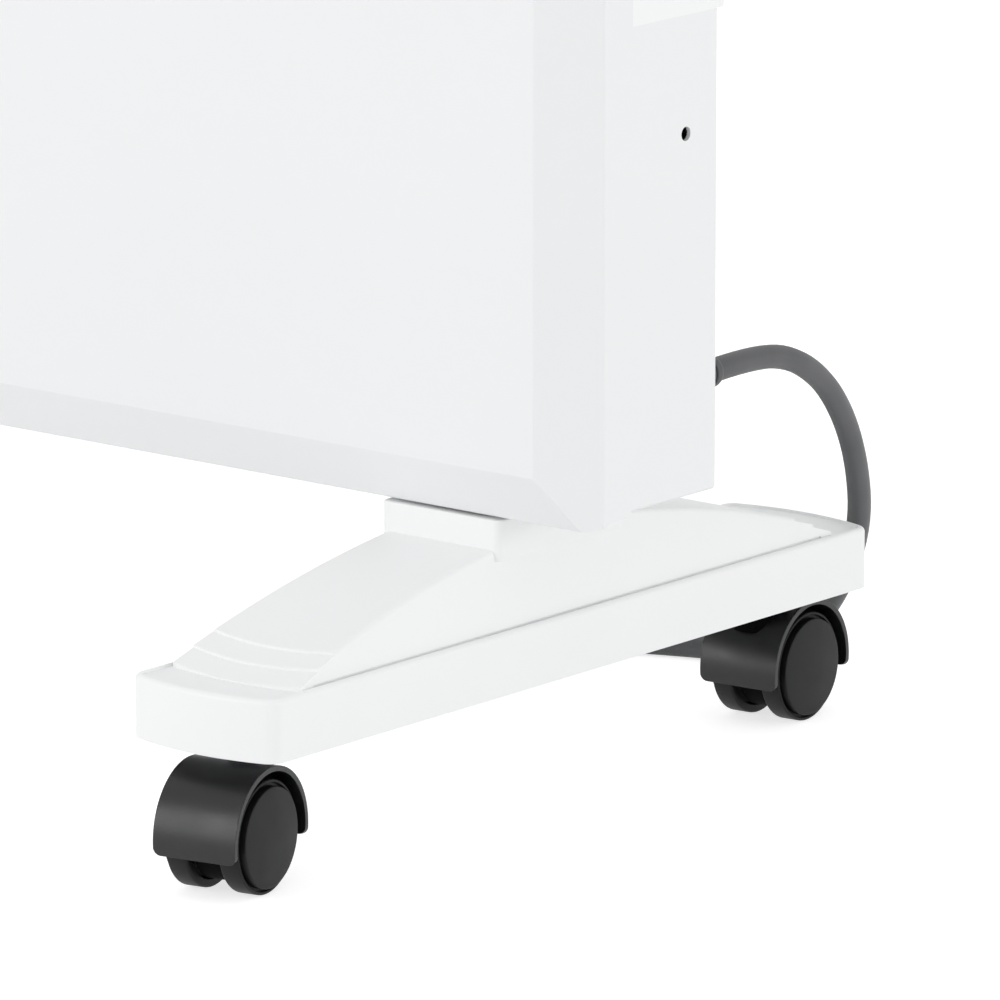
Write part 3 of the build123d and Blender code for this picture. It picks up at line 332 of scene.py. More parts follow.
def cuboid(bm, size, centre):
    """Adds a box to a bmesh."""
    made = bmesh.ops.create_cube(bm, size=1)
    bmesh.ops.scale(bm, verts=made["verts"], vec=size)
    bmesh.ops.translate(bm, verts=made["verts"], vec=centre)


def grid_faces(bm, rows):
    """Joins rows of vertices into a grid of quads."""
    for row, following in zip(rows, rows[1:]):
        for k in range(len(row) - 1):
            bm.faces.new((row[k], row[k + 1], following[k + 1], following[k]))


def rounded(points, cuts=4):
    """An outline whose corners are replaced by arcs. Each point is (x, y, radius)."""
    result = []
    count = len(points)
    for i, (x, y, radius) in enumerate(points):
        here = Vector((x, y))
        if radius <= 0:
            result.append(here)
            continue
        before = Vector(points[i - 1][:2]) - here
        after = Vector(points[(i + 1) % count][:2]) - here
        half = before.angle(after) / 2
        reach = min(radius / math.tan(half), 0.49 * before.length, 0.49 * after.length)
        start = here + before.normalized() * reach
        end = here + after.normalized() * reach
        centre = here + (before.normalized() + after.normalized()).normalized() * (reach / math.cos(half))
        first, last = start - centre, end - centre
        turn = first.angle_signed(last)
        for step in range(cuts + 1):
            angle = -turn * step / cuts
            result.append(centre + Vector((
                first.x * math.cos(angle) - first.y * math.sin(angle),
                first.x * math.sin(angle) + first.y * math.cos(angle),
            )))
    return result


def lathe(outline, steps):
    """A solid turned round the X axis from a half outline of (x, radius) points, ends on the axis."""
    bm = bmesh.new()
    rings = []
    for x, radius in outline:
        if radius < 1e-7:
            rings.append([bm.verts.new((x, 0, 0))])
            continue
        rings.append([
            bm.verts.new((x, radius * math.cos(turn), radius * math.sin(turn)))
            for turn in (2 * math.pi * k / steps for k in range(steps))
        ])
    for ring, following in zip(rings, rings[1:]):
        for k in range(steps):
            n = (k + 1) % steps
            if len(ring) == 1 and len(following) == 1:
                continue
            if len(ring) == 1:
                bm.faces.new((ring[0], following[k], following[n]))
            elif len(following) == 1:
                bm.faces.new((ring[k], following[0], ring[n]))
            else:
                bm.faces.new((ring[k], following[k], following[n], ring[n]))
    return bm


def grow_tree(name, inputs):
    """An empty Geometry Nodes tree with named inputs and one geometry output."""
    tree = bpy.data.node_groups.new(name, "GeometryNodeTree")
    tree.interface.new_socket("Geometry", in_out="OUTPUT", socket_type="NodeSocketGeometry")
    for label, kind in inputs.items():
        tree.interface.new_socket(label, in_out="INPUT", socket_type=f"NodeSocket{kind}")
    return tree, node(tree, "NodeGroupInput").outputs


def finish_tree(tree, geometry, material):
    """Ends a tree: real faces, their material, and the output."""
    faces = node(tree, "GeometryNodeRealizeInstances", {"Geometry": geometry}).outputs["Geometry"]
    painted = node(tree, "GeometryNodeSetMaterial", {"Geometry": faces, "Material": material})
    node(tree, "NodeGroupOutput", {"Geometry": painted.outputs["Geometry"]})
    return tree


def grown(name, tree, values):
    """The plain mesh that a Geometry Nodes tree makes from these values, as an object at the origin."""
    piece = linked(name, bpy.data.meshes.new(name))
    modifier = piece.modifiers.new("grow", "NODES")
    modifier.node_group = tree
    for socket in tree.interface.items_tree:
        if socket.in_out == "INPUT":
            modifier[socket.identifier] = values[socket.name]
    result = piece.evaluated_get(bpy.context.evaluated_depsgraph_get())
    mesh = bpy.data.meshes.new_from_object(result)
    piece.modifiers.remove(modifier)
    piece.data = mesh
    smooth(mesh, 35.0)
    return piece


def soften(piece, width_mm, segments=2, angle=30.0):
    """A small bevel on a piece's sharp edges."""
    edge = piece.modifiers.new("edge", "BEVEL")
    edge.width = width_mm * MM
    edge.segments = segments
    edge.limit_method = "ANGLE"
    edge.angle_limit = math.radians(angle)
    edge.harden_normals = True


# ---- Supply cord -------------------------------------------------------------------

# The same route as the CAD model's lead and tail, in millimetres.
LEAD_ROUTE = [
    (291.0, 44.7, 118.8), (291.0, 62.0, 119.6), (290.5, 80.0, 117.0), (288.5, 98.0, 107.5),
    (284.5, 114.0, 93.0), (278.0, 129.0, 75.0), (268.0, 144.0, 54.0), (253.0, 156.0, 32.0),
    (235.0, 163.5, 13.0), (214.0, 163.5, 3.6), (192.0, 157.5, 3.4), (172.0, 149.0, 3.4),
    (152.0, 143.8, 3.4),
]
TAIL_ROUTE = [(173.3, 168.0, 13.5), (171.5, 150.0, 17.5), (167.5, 133.0, 19.2), (160.0, 118.0, 19.0)]
COIL_CENTRE = (130.0, 186.0)
COIL_TURNS = 4.75
COIL_CLIMB = 0.7  # turns that the cord takes to climb onto the lower layer
COIL_CLEARANCE = 1.0


def coil_points(cord):
    """Control points of the wound turns: inwards on the floor, then outwards on top."""
    pitch = cord.diameter / MM
    outer = cord.ring_radius / MM + pitch
    # The curve cuts the corners of its control points, so they lie a little further out.
    swell = 1 / math.cos(math.pi / cord.points_per_turn)
    points = []
    for k in range(int(COIL_TURNS * cord.points_per_turn) + 1):
        t = k / cord.points_per_turn
        radius = outer - pitch * min(t, COIL_TURNS - t)
        lift = min(max((t - COIL_TURNS / 2) / COIL_CLIMB + 0.5, 0), 1)
        lift = lift * lift * (3 - 2 * lift)
        angle = -math.pi / 2 - 2 * math.pi * t
        points.append((COIL_CENTRE[0] + radius * swell * math.cos(angle),
                       COIL_CENTRE[1] + radius * swell * math.sin(angle),
                       COIL_CLEARANCE + pitch / 2 + lift * pitch))
    return points


class HEATER_OT_supply_cord(bpy.types.Operator):
    """The supply cord: out of its strain relief, down behind the foot, and wound in a tied coil"""

    bl_idname = "heater.supply_cord"
    bl_label = "Supply Cord"

    def execute(self, context):
        cord = context.scene.heater_cord
        route = LEAD_ROUTE + coil_points(cord) + TAIL_ROUTE
        curve = bpy.data.curves.new("supply_cord_line", "CURVE")
        curve.dimensions = "3D"
        spline = curve.splines.new("NURBS")
        spline.points.add(len(route) - 1)
        for point, (x, y, z) in zip(spline.points, route):
            point.co = (x * MM, y * MM, z * MM, 1)
        spline.order_u = 3
        spline.use_endpoint_u = True
        spline.resolution_u = 6
        curve.bevel_depth = cord.diameter / 2
        curve.bevel_resolution = 6
        curve.use_fill_caps = True
        piece = linked("supply_cord_flex", curve)
        place_piece(piece, "cord", "supply_cord")
        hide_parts("cord_coil", "cord_tail")
        return {"FINISHED"}


# Half outlines of turned pieces are (place along the axis, radius, rounding), in millimetres.
BUSH_RADIUS = 5.9
FLANGE_RADIUS = 9.0
FLANGE_THICK = 2.5
NECK_RADIUS = 6.6
NECK_LENGTH = 1.5
RELIEF_BOOT = {"length": 18.5, "root": 5.6, "tip": 4.4, "count": 6, "depth": 0.75}
PLUG_BOOT = {"length": 20.0, "root": 5.6, "tip": 4.5, "count": 5, "depth": 0.8}
PLUG_BOOT_START = 36.0
BOOT_MOUTH = 4.0
PLUG_OUTLINE = [(0, 0, 0), (0, 18.9, 1.2), (13, 18.9, 2.4), (14.5, 13.2, 2.0), (20, 12.4, 4.0),
                (29, 11.6, 5.0), (34, 6.6, 1.2)]
# The grooves above and below the plug's disc, in which the earth strips lie.
GROOVE_REACH = 13.2
GROOVE_HALF = 3.2
GROOVE_FLOOR = 16.0
GROOVE_ABOVE = 15.5  # points nearer the axis stay where they are
STRIP_SIZE = (4.4, 12.0, 0.8)
STRIP_PLACE = (6.2, 16.1)  # behind the plug's face, and out from its axis
# The grip is a little flat: its height is less by a share, which fades in and out along it.
GRIP_START = 14
GRIP_FLATNESS = 0.2
GRIP_FADE_IN = 3
GRIP_FADE_OUT = 5
STRAP_HALF = (11.2, 7.8)
STRAP_MIDDLE = (37.0, 7.8)
STRAP_CORNER = 3.2
STRAP_THICK = 0.95
STRAP_HALF_WIDTH = 4
STRAP_TURN = 35


def along_y(name):
    """Lays a turned solid's axis along +Y, from the middle of a CAD node's front."""
    low, _, middle = box_of(name)
    return Matrix.Translation((middle.x, low.y, middle.z)) @ Matrix.Rotation(math.pi / 2, 4, "Z")


def boot_rings(start, length, root, tip, count, depth):
    """Half outline of a tapered boot with grooves round it, which ends in a bare mouth."""
    crest, trough = 0.35, 0.2
    ridge, groove_start, groove_end = 0.62, 0.66, 0.96
    points = []
    pitch = length / count
    for k in range(count):
        x = start + k * pitch
        here = root + (tip - root) * k / count
        there = root + (tip - root) * (k + ridge) / count
        points += [(x, here, crest), (x + ridge * pitch, there, crest)]
        if k < count - 1:
            points += [(x + groove_start * pitch, there - depth, trough),
                       (x + groove_end * pitch, there - depth, trough)]
    return points + [(start + length, BOOT_MOUTH, 0), (start + length, 0, 0)]


class HEATER_OT_cord_fittings(bpy.types.Operator):
    """The bush with its tapered strain relief, the strap round the coil, and the plug with its pins"""

    bl_idname = "heater.cord_fittings"
    bl_label = "Cord Fittings"

    def execute(self, context):
        self.relief()
        self.strap()
        self.plug()
        self.earth_strips()
        dress("plug_pins", "pins")
        return {"FINISHED"}

    def relief(self):
        """Flanged bush in the rear sheet, then a grooved boot that tapers to the cord."""
        low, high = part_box("cord_gland")
        boot = (high.y - low.y) / MM - RELIEF_BOOT["length"]
        face = boot - NECK_LENGTH - FLANGE_THICK
        outline = [(0, 0, 0), (0, BUSH_RADIUS, 0.3), (face, BUSH_RADIUS, 0), (face, FLANGE_RADIUS, 0),
                   (face + FLANGE_THICK, FLANGE_RADIUS, 1.1), (face + FLANGE_THICK, NECK_RADIUS, 0.8)]
        outline += boot_rings(boot, **RELIEF_BOOT)
        points = [(p[0] * MM, p[1] * MM) for p in rounded(outline)]
        piece = mesh_piece("cord_relief", lathe(points, 48), place=along_y("cord_gland"))
        place_piece(piece, "plug", "cord_gland")

    def strap(self):
        """A hook-and-loop strap once round the coil."""
        half_x, half_z = STRAP_HALF
        loop = rounded([(-half_x, -half_z, STRAP_CORNER), (half_x, -half_z, STRAP_CORNER),
                        (half_x, half_z, STRAP_CORNER), (-half_x, half_z, STRAP_CORNER)], cuts=6)
        near, far = -STRAP_HALF_WIDTH, STRAP_HALF_WIDTH
        bm = bmesh.new()
        rows = []
        for point in loop:
            inward = point.copy()
            inward.x -= math.copysign(min(abs(point.x), STRAP_THICK), point.x)
            inward.y -= math.copysign(min(abs(point.y), STRAP_THICK), point.y)
            rows.append([
                bm.verts.new(((STRAP_MIDDLE[0] + p.x) * MM, w * MM, (STRAP_MIDDLE[1] + p.y) * MM))
                for p, w in ((point, near), (point, far), (inward, far), (inward, near), (point, near))
            ])
        grid_faces(bm, rows + rows[:1])
        bmesh.ops.remove_doubles(bm, verts=bm.verts, dist=1e-6)
        turn = Matrix.Translation((COIL_CENTRE[0] * MM, COIL_CENTRE[1] * MM, 0)) @ Matrix.Rotation(
            math.radians(STRAP_TURN), 4, "Z")
        place_piece(mesh_piece("coil_strap", bm, place=turn), "tape", "cord_tie")

    def plug(self):
        """Round plug: a disc with a groove above and below, a flattish grip and a grooved boot."""
        outline = PLUG_OUTLINE + boot_rings(PLUG_BOOT_START, **PLUG_BOOT)
        bm = lathe([(p[0] * MM, p[1] * MM) for p in rounded(outline, cuts=6)], 96)
        for v in bm.verts:
            x, radius = v.co.x / MM, math.hypot(v.co.y, v.co.z) / MM
            if x < GROOVE_REACH and radius > GROOVE_ABOVE and abs(v.co.y) / MM < GROOVE_HALF:
                v.co.z *= GROOVE_FLOOR / radius
            if x > GRIP_START and radius > 0:
                share = min((x - GRIP_START) / GRIP_FADE_IN, 1)
                share *= max(min((PLUG_BOOT_START - x) / GRIP_FADE_OUT, 1), 0)
                v.co.z *= 1 - GRIP_FLATNESS * share
        piece = mesh_piece("mains_plug", bm, sharp=28, place=along_y("plug_body"))
        place_piece(piece, "plug", "plug_body")

    def earth_strips(self):
        """The two contact strips in the plug's grooves."""
        low, _, middle = box_of("plug_body")
        back, out = (v * MM for v in STRIP_PLACE)
        bm = bmesh.new()
        for side in (-1, 1):
            cuboid(bm, [v * MM for v in STRIP_SIZE], (middle.x, low.y + back, middle.z + side * out))
        strips = mesh_piece("plug_earth_strips", bm)
        soften(strips, 0.25)
        place_piece(strips, "pins", "plug_body", replaces=False)


# ---- Castors -----------------------------------------------------------------------

CASTORS = ("front_right", "rear_right", "front_left", "rear_left")
HOOD_HALF = 12.8 * MM
HOOD_WALL = 1.5 * MM
HOOD_SKIRT = 3.6 * MM
HOOD_CORNER = 2.2 * MM
BOSS_RISE = 1.4 * MM
BOSS_RADIUS = 6.4 * MM
WEB_HALF = 4.6 * MM
WEB_DISC = 13.0 * MM
WHEEL_GAP = 10.0 * MM
CORNER_CUTS = 6
# Wheel sizes in millimetres, along the axle from the wheel's inner face or from the axis.
CAP_FACE = 7.8
CAP_RADIUS = 14.0
CAP_RISE = 0.9
CAP_STEPS = 16
RIM_FACE = 6.4
RIM_BORE = 14.9
RIM_GROOVE = 5.2
INNER_RIM = 13.4
INNER_DEPTH = 3.6
INNER_HUB = 5.2
AXLE_BORE = 2.55
AXLE_DEPTH = 6.6


def castor_place(name, castor):
    """Where a castor's own frame lies: its stem's axis at the origin, its axle along X."""
    middle = box_of(f"castor_stem_{name}")[2]
    side = 1 if name.endswith("right") else -1
    turn = side * castor.swivel_front + math.pi if name.startswith("front") else side * castor.swivel_rear
    return Matrix.Translation((middle.x, middle.y, 0)) @ Matrix.Rotation(turn, 4, "Z")


def hood_shell(bm, castor):
    """The curved hood: a thin half ring whose lower corners are rounded."""
    outer = castor.hood_radius
    level = math.asin(HOOD_SKIRT / outer)
    across = [-HOOD_HALF + HOOD_CORNER * (1 - math.cos(math.pi / 2 * k / CORNER_CUTS))
              for k in range(CORNER_CUTS + 1)]
    across += [-x for x in reversed(across)]
    around = 56
    skins = []
    for radius in (outer, outer - HOOD_WALL):
        rows = []
        for i in range(around + 1):
            share = 2 * i / around - 1
            row = []
            for x in across:
                over = max(abs(x) - (HOOD_HALF - HOOD_CORNER), 0)
                drop = HOOD_CORNER - math.sqrt(max(HOOD_CORNER ** 2 - over ** 2, 0))
                angle = math.pi / 2 + share * (math.pi / 2 + level - drop / outer)
                row.append(bm.verts.new((x, radius * math.cos(angle), radius * math.sin(angle))))
            rows.append(row)
        grid_faces(bm, rows)
        skins.append(rows)
    outside, inside = skins
    for column in (0, -1):
        grid_faces(bm, [[row[column] for row in outside], [row[column] for row in inside]])
    for end in (0, -1):
        grid_faces(bm, [outside[end], inside[end]])


def hood_web(bm, castor):
    """The web between the wheels, with the boss for the stem."""
    radius = castor.hood_radius - HOOD_WALL / 2
    level = math.asin(HOOD_SKIRT / radius)
    steps = 40
    outline = [
        (radius * math.cos(a), radius * math.sin(a))
        for a in (-level + (math.pi + 2 * level) * k / steps for k in range(steps + 1))
    ]
    sides = [[bm.verts.new((x, y, z)) for y, z in outline] for x in (-WEB_HALF, WEB_HALF)]
    bm.faces.new(sides[0])
    bm.faces.new(sides[1])
    for k in range(len(outline)):
        n = (k + 1) % len(outline)
        bm.faces.new((sides[0][k], sides[0][n], sides[1][n], sides[1][k]))
    disc = bmesh.ops.create_cone(bm, cap_ends=True, segments=64, radius1=WEB_DISC, radius2=WEB_DISC,
                                 depth=2 * WEB_HALF)
    bmesh.ops.rotate(bm, verts=disc["verts"], matrix=Matrix.Rotation(math.pi / 2, 3, "Y"))
    # The boss starts inside the web, well under the hood's top.
    start = castor.hood_radius * 0.6
    rise = castor.hood_radius + BOSS_RISE - start
    boss = bmesh.ops.create_cone(bm, cap_ends=True, segments=48, radius1=BOSS_RADIUS, radius2=BOSS_RADIUS,
                                 depth=rise)
    bmesh.ops.translate(bm, verts=boss["verts"], vec=(0, -castor.trail, start + rise / 2))


def castor_hood(name, castor):
    """A castor's hood and the web in it, as two pieces for their two finishes."""
    axle = castor_place(name, castor) @ Matrix.Translation((0, castor.trail, castor.wheel_radius))
    # The web's finish is darkened as painted shade for the unlit gap between the wheels.
    for label, build in (("hood", hood_shell), ("web", hood_web)):
        bm = bmesh.new()
        build(bm, castor)
        piece = mesh_piece(f"{label}_{name}", bm, place=axle)
        soften(piece, 0.4, segments=3, angle=40)
        place_piece(piece, label, f"castor_hood_{name}", replaces=label == "hood")


def wheel_outline(castor):
    """Half outline of a wheel: domed cap, shadow groove, rim ring, tread and recessed inner side."""
    tread = castor.wheel_radius / MM
    dome = [(CAP_FACE + CAP_RISE * (1 - (k / CAP_STEPS) ** 2), CAP_RADIUS * k / CAP_STEPS)
            for k in range(CAP_STEPS)]
    # The first two points only give the cap's rounded edge its direction, and are dropped.
    body = rounded([
        (CAP_FACE + CAP_RISE, 0, 0), (CAP_FACE + 0.1, 13.2, 0),
        (CAP_FACE, CAP_RADIUS, 0.35), (RIM_GROOVE, CAP_RADIUS, 0), (RIM_GROOVE, RIM_BORE, 0),
        (RIM_FACE, RIM_BORE, 0.25), (RIM_FACE, tread, 0.7), (0, tread, 0.8), (0, INNER_RIM, 0.3),
        (INNER_DEPTH, INNER_RIM, 0.6), (INNER_DEPTH, INNER_HUB, 0.6), (0, INNER_HUB, 0.4),
        (0, AXLE_BORE, 0), (AXLE_DEPTH, AXLE_BORE, 0), (AXLE_DEPTH, 0, 0),
    ])[2:]
    return [(x * MM, r * MM) for x, r in dome + [tuple(p) for p in body]]


def castor_wheel(name, side, castor):
    """One of a castor's two wheels, with its domed cap outwards."""
    out = 1 if side == "a" else -1
    offset = Matrix.Translation((out * WHEEL_GAP / 2, castor.trail, castor.wheel_radius))
    if side == "b":
        offset = offset @ Matrix.Rotation(math.pi, 4, "Z")
    piece = mesh_piece(f"wheel_{side}_{name}", lathe(wheel_outline(castor), 96), sharp=32,
                       place=castor_place(name, castor) @ offset)
    place_piece(piece, "wheel", f"castor_wheel_{side}_{name}")


class HEATER_OT_castors(bpy.types.Operator):
    """Four twin-wheel castors: a hood with rounded skirt and two domed wheels each"""

    bl_idname = "heater.castors"
    bl_label = "Castors"

    def execute(self, context):
        castor = context.scene.heater_castor
        for name in CASTORS:
            castor_hood(name, castor)
            for side in ("a", "b"):
                castor_wheel(name, side, castor)
            for steel in ("stem", "axle"):
                dress(f"castor_{steel}_{name}", "zinc")
        return {"FINISHED"}


# ---- Outlet louvre -------------------------------------------------------------------

# Sizes in millimetres, from the front sheet's face backwards where a depth is meant.
RIM_PROUD = 0.8
RIM_HALF = (250.0, 17.0)
RIM_CORNER = 3.0
# (outwards, back, rounding): the rim's lip on the sheet, and its collar through it.
RIM_SECTION = [(-2, 13, 0.3), (-2, -RIM_PROUD, 0.5), (4, -RIM_PROUD, 0.6), (4, 0.05, 0), (0, 0.05, 0),
               (0, 13, 0.3)]
SLATS_BACK = 6.1


def centred_line(tree, count, pitch, axis):
    """Points a pitch apart along an axis, with their middle at the origin."""
    steps = node(tree, "ShaderNodeMath", {0: count, 1: 1.0}, operation="SUBTRACT").outputs[0]
    span = node(tree, "ShaderNodeMath", {0: steps, 1: pitch}, operation="MULTIPLY").outputs[0]
    start = node(tree, "ShaderNodeMath", {0: span, 1: -0.5}, operation="MULTIPLY").outputs[0]
    return node(tree, "GeometryNodeMeshLine", {
        "Count": count,
        "Start Location": node(tree, "ShaderNodeCombineXYZ", {axis: start}).outputs[0],
        "Offset": node(tree, "ShaderNodeCombineXYZ", {axis: pitch}).outputs[0],
    }).outputs[0]


def louvre_tree():
    """Geometry Nodes: cambered slats one above the other, in front of a row of upright posts."""
    tree, given = grow_tree("outlet_louvre", {
        "Middle": "Vector", "Slats": "Int", "Slat Pitch": "Float", "Slat Length": "Float",
        "Slat Depth": "Float", "Slat Thickness": "Float", "Camber": "Float", "Tilt": "Float",
        "Posts": "Int", "Post Pitch": "Float", "Post Thickness": "Float", "Post Height": "Float",
        "Material": "Material",
    })
    depth = given["Slat Depth"]
    sheet = node(tree, "GeometryNodeMeshGrid", {"Size X": given["Slat Length"], "Size Y": depth,
                                                "Vertices X": 2, "Vertices Y": 9}).outputs["Mesh"]
    across = node(tree, "ShaderNodeSeparateXYZ", {0: node(tree, "GeometryNodeInputPosition").outputs[0]})
    edge = node(tree, "ShaderNodeMath", {0: depth, 1: 0.5}, operation="MULTIPLY").outputs[0]
    share = node(tree, "ShaderNodeMath", {0: across.outputs["Y"], 1: edge}, operation="DIVIDE").outputs[0]
    squared = node(tree, "ShaderNodeMath", {0: share, 1: share}, operation="MULTIPLY").outputs[0]
    rise = node(tree, "ShaderNodeMath", {0: squared, 1: given["Camber"]}, operation="MULTIPLY").outputs[0]
    lift = node(tree, "ShaderNodeCombineXYZ", {"Z": rise}).outputs[0]
    curved = node(tree, "GeometryNodeSetPosition", {"Geometry": sheet, "Offset": lift}).outputs[0]
    thick = node(tree, "GeometryNodeExtrudeMesh", {"Mesh": curved, "Offset Scale": given["Slat Thickness"],
                                                   "Individual": False}).outputs["Mesh"]
    back = node(tree, "GeometryNodeFlipFaces", {"Mesh": curved}).outputs[0]
    shell = node(tree, "GeometryNodeJoinGeometry", {0: thick})
    tree.links.new(back, shell.inputs[0])
    slat = node(tree, "GeometryNodeMergeByDistance", {"Geometry": shell.outputs[0],
                                                      "Distance": 1e-6}).outputs[0]
    slats = node(tree, "GeometryNodeInstanceOnPoints", {
        "Points": centred_line(tree, given["Slats"], given["Slat Pitch"], "Z"), "Instance": slat,
        "Rotation": node(tree, "ShaderNodeCombineXYZ", {"X": given["Tilt"]}).outputs[0],
    }).outputs[0]
    size = node(tree, "ShaderNodeCombineXYZ", {"X": given["Post Thickness"], "Y": depth,
                                               "Z": given["Post Height"]}).outputs[0]
    post = node(tree, "GeometryNodeMeshCube", {"Size": size}).outputs[0]
    posts = node(tree, "GeometryNodeInstanceOnPoints", {
        "Points": centred_line(tree, given["Posts"], given["Post Pitch"], "X"), "Instance": post,
    }).outputs[0]
    both = node(tree, "GeometryNodeJoinGeometry", {0: slats})
    tree.links.new(posts, both.inputs[0])
    placed = node(tree, "GeometryNodeTransform", {"Geometry": both.outputs[0],
                                                  "Translation": given["Middle"]}).outputs[0]
    return finish_tree(tree, placed, given["Material"])


def rim_ring(name, centre):
    """The outlet's rim: its section carried round a rounded rectangle."""
    half_x, half_z = (half - RIM_CORNER for half in RIM_HALF)
    section = rounded(RIM_SECTION, cuts=3)
    corner_steps = 8
    bm = bmesh.new()
    rows = []
    for sign_x, sign_z, first in ((1, 1, 0), (-1, 1, 90), (-1, -1, 180), (1, -1, 270)):
        for step in range(corner_steps + 1):
            angle = math.radians(first + 90 * step / corner_steps)
            row = []
            for out, back in section:
                x = centre[0] + (sign_x * half_x + (RIM_CORNER + out) * math.cos(angle)) * MM
                z = centre[2] + (sign_z * half_z + (RIM_CORNER + out) * math.sin(angle)) * MM
                row.append(bm.verts.new((x, centre[1] + back * MM, z)))
            rows.append(row + row[:1])
    grid_faces(bm, rows + rows[:1])
    return mesh_piece(name, bm, sharp=40)


class HEATER_OT_outlet(bpy.types.Operator):
    """The air outlet: a moulded frame in the front sheet, with slats between posts"""

    bl_idname = "heater.outlet"
    bl_label = "Outlet Louvre"

    def execute(self, context):
        low, _, middle = box_of("outlet_grille")
        face = low.y + RIM_PROUD * MM
        place_piece(rim_ring("outlet_frame", (0.0, face, middle.z)), "abs", "outlet_grille")
        louvre = grown("outlet_slats", louvre_tree(), {
            "Middle": (0.0, face + SLATS_BACK * MM, middle.z), "Slats": 5, "Slat Pitch": 6.0 * MM,
            "Slat Length": 496.4 * MM, "Slat Depth": 10.2 * MM, "Slat Thickness": 1.3 * MM,
            "Camber": 1.0 * MM, "Tilt": math.radians(35), "Posts": 7, "Post Pitch": 62.5 * MM,
            "Post Thickness": 2.0 * MM, "Post Height": 33.0 * MM, "Material": material_of("abs"),
        })
        soften(louvre, 0.3)
        place_piece(louvre, "abs", "outlet_grille", replaces=False)
        return {"FINISHED"}


# ---- Screws ------------------------------------------------------------------------

COVER_SCREW = {"Head Radius": 3.6 * MM, "Head Height": 1.6 * MM, "Shank Radius": 1.9 * MM,
               "Shank Length": 6.0 * MM}
FOOT_SCREW = {"Head Radius": 4.6 * MM, "Head Height": 3.2 * MM, "Shank Radius": 2.5 * MM}
FOOT_SCREWS_APART = 22 * MM
# Shares of the head's radius: the bars that cut the cross reach past its edge.
CROSS_REACH = 1.15
CROSS_SLOT = 0.26


def screw_tree():
    """Geometry Nodes: pan-head screws with a cross recess, head down, on rows of points."""
    tree, given = grow_tree("pan_head_screws", {
        "First": "Vector", "Step": "Vector", "Row Step": "Vector", "Count": "Int", "Rows": "Int",
        "Head Radius": "Float", "Head Height": "Float", "Shank Radius": "Float", "Shank Length": "Float",
        "Material": "Material",
    })
    radius, height = given["Head Radius"], given["Head Height"]
    length = given["Shank Length"]
    shares = {}
    for name, value, factor in (("middle", height, -0.5), ("bottom", height, -1.0), ("shank", length, 0.5),
                                ("reach", radius, CROSS_REACH), ("slot", radius, CROSS_SLOT)):
        shares[name] = node(tree, "ShaderNodeMath", {0: value, 1: factor}, operation="MULTIPLY").outputs[0]
    places = {name: node(tree, "ShaderNodeCombineXYZ", {"Z": shares[name]}).outputs[0]
              for name in ("middle", "bottom", "shank")}
    head = node(tree, "GeometryNodeMeshCylinder", {"Vertices": 40, "Radius": radius,
                                                   "Depth": height}).outputs["Mesh"]
    head = node(tree, "GeometryNodeTransform", {"Geometry": head, "Translation": places["middle"]}).outputs[0]
    recess = node(tree, "GeometryNodeMeshBoolean", {"Mesh 1": head}, operation="DIFFERENCE")
    for x, y in (("reach", "slot"), ("slot", "reach")):
        size = node(tree, "ShaderNodeCombineXYZ", {"X": shares[x], "Y": shares[y], "Z": height}).outputs[0]
        bar = node(tree, "GeometryNodeMeshCube", {"Size": size}).outputs["Mesh"]
        cut = node(tree, "GeometryNodeTransform", {"Geometry": bar, "Translation": places["bottom"]})
        tree.links.new(cut.outputs[0], recess.inputs["Mesh 2"])
    shank = node(tree, "GeometryNodeMeshCylinder", {"Vertices": 24, "Radius": given["Shank Radius"],
                                                    "Depth": length}).outputs["Mesh"]
    shank = node(tree, "GeometryNodeTransform", {"Geometry": shank,
                                                 "Translation": places["shank"]}).outputs[0]
    screw = node(tree, "GeometryNodeJoinGeometry", {0: recess.outputs["Mesh"]})
    tree.links.new(shank, screw.inputs[0])
    row = node(tree, "GeometryNodeMeshLine", {"Count": given["Count"], "Start Location": given["First"],
                                              "Offset": given["Step"]}).outputs[0]
    rows = node(tree, "GeometryNodeMeshLine", {"Count": given["Rows"],
                                               "Offset": given["Row Step"]}).outputs[0]
    spread = node(tree, "GeometryNodeInstanceOnPoints", {"Points": rows, "Instance": row}).outputs[0]
    points = node(tree, "GeometryNodeRealizeInstances", {"Geometry": spread}).outputs[0]
    screws = node(tree, "GeometryNodeInstanceOnPoints", {"Points": points,
                                                         "Instance": screw.outputs[0]}).outputs[0]
    return finish_tree(tree, screws, given["Material"])


class HEATER_OT_screws(bpy.types.Operator):
    """The pan-head screws under the body and up through the feet"""

    bl_idname = "heater.screws"
    bl_label = "Screws"

    def execute(self, context):
        tree = screw_tree()
        low, high, middle = box_of("cover_screws")
        radius = COVER_SCREW["Head Radius"]
        small = grown("panel_screws", tree, {
            **COVER_SCREW, "First": (low.x + radius, middle.y, low.z + COVER_SCREW["Head Height"]),
            "Step": (high.x - low.x - 2 * radius, 0, 0), "Row Step": (0, 0, 0), "Count": 2, "Rows": 1,
            "Material": material_of("zinc"),
        })
        soften(small, 0.25)
        place_piece(small, "zinc", "cover_screws")
        low, high, middle = box_of("foot_screws")
        bottom = low.z + FOOT_SCREW["Head Height"]
        foot_x = box_of("foot_right")[2].x
        large = grown("pedestal_screws", tree, {
            **FOOT_SCREW, "Shank Length": high.z - bottom,
            "First": (-foot_x - FOOT_SCREWS_APART / 2, middle.y, bottom),
            "Step": (FOOT_SCREWS_APART, 0, 0), "Row Step": (2 * foot_x, 0, 0), "Count": 2, "Rows": 2,
            "Material": material_of("zinc"),
        })
        soften(large, 0.4)
        place_piece(large, "zinc", "foot_screws")
        return {"FINISHED"}


# ---- Floor of the control recess, and marks of the controls ----------------------------

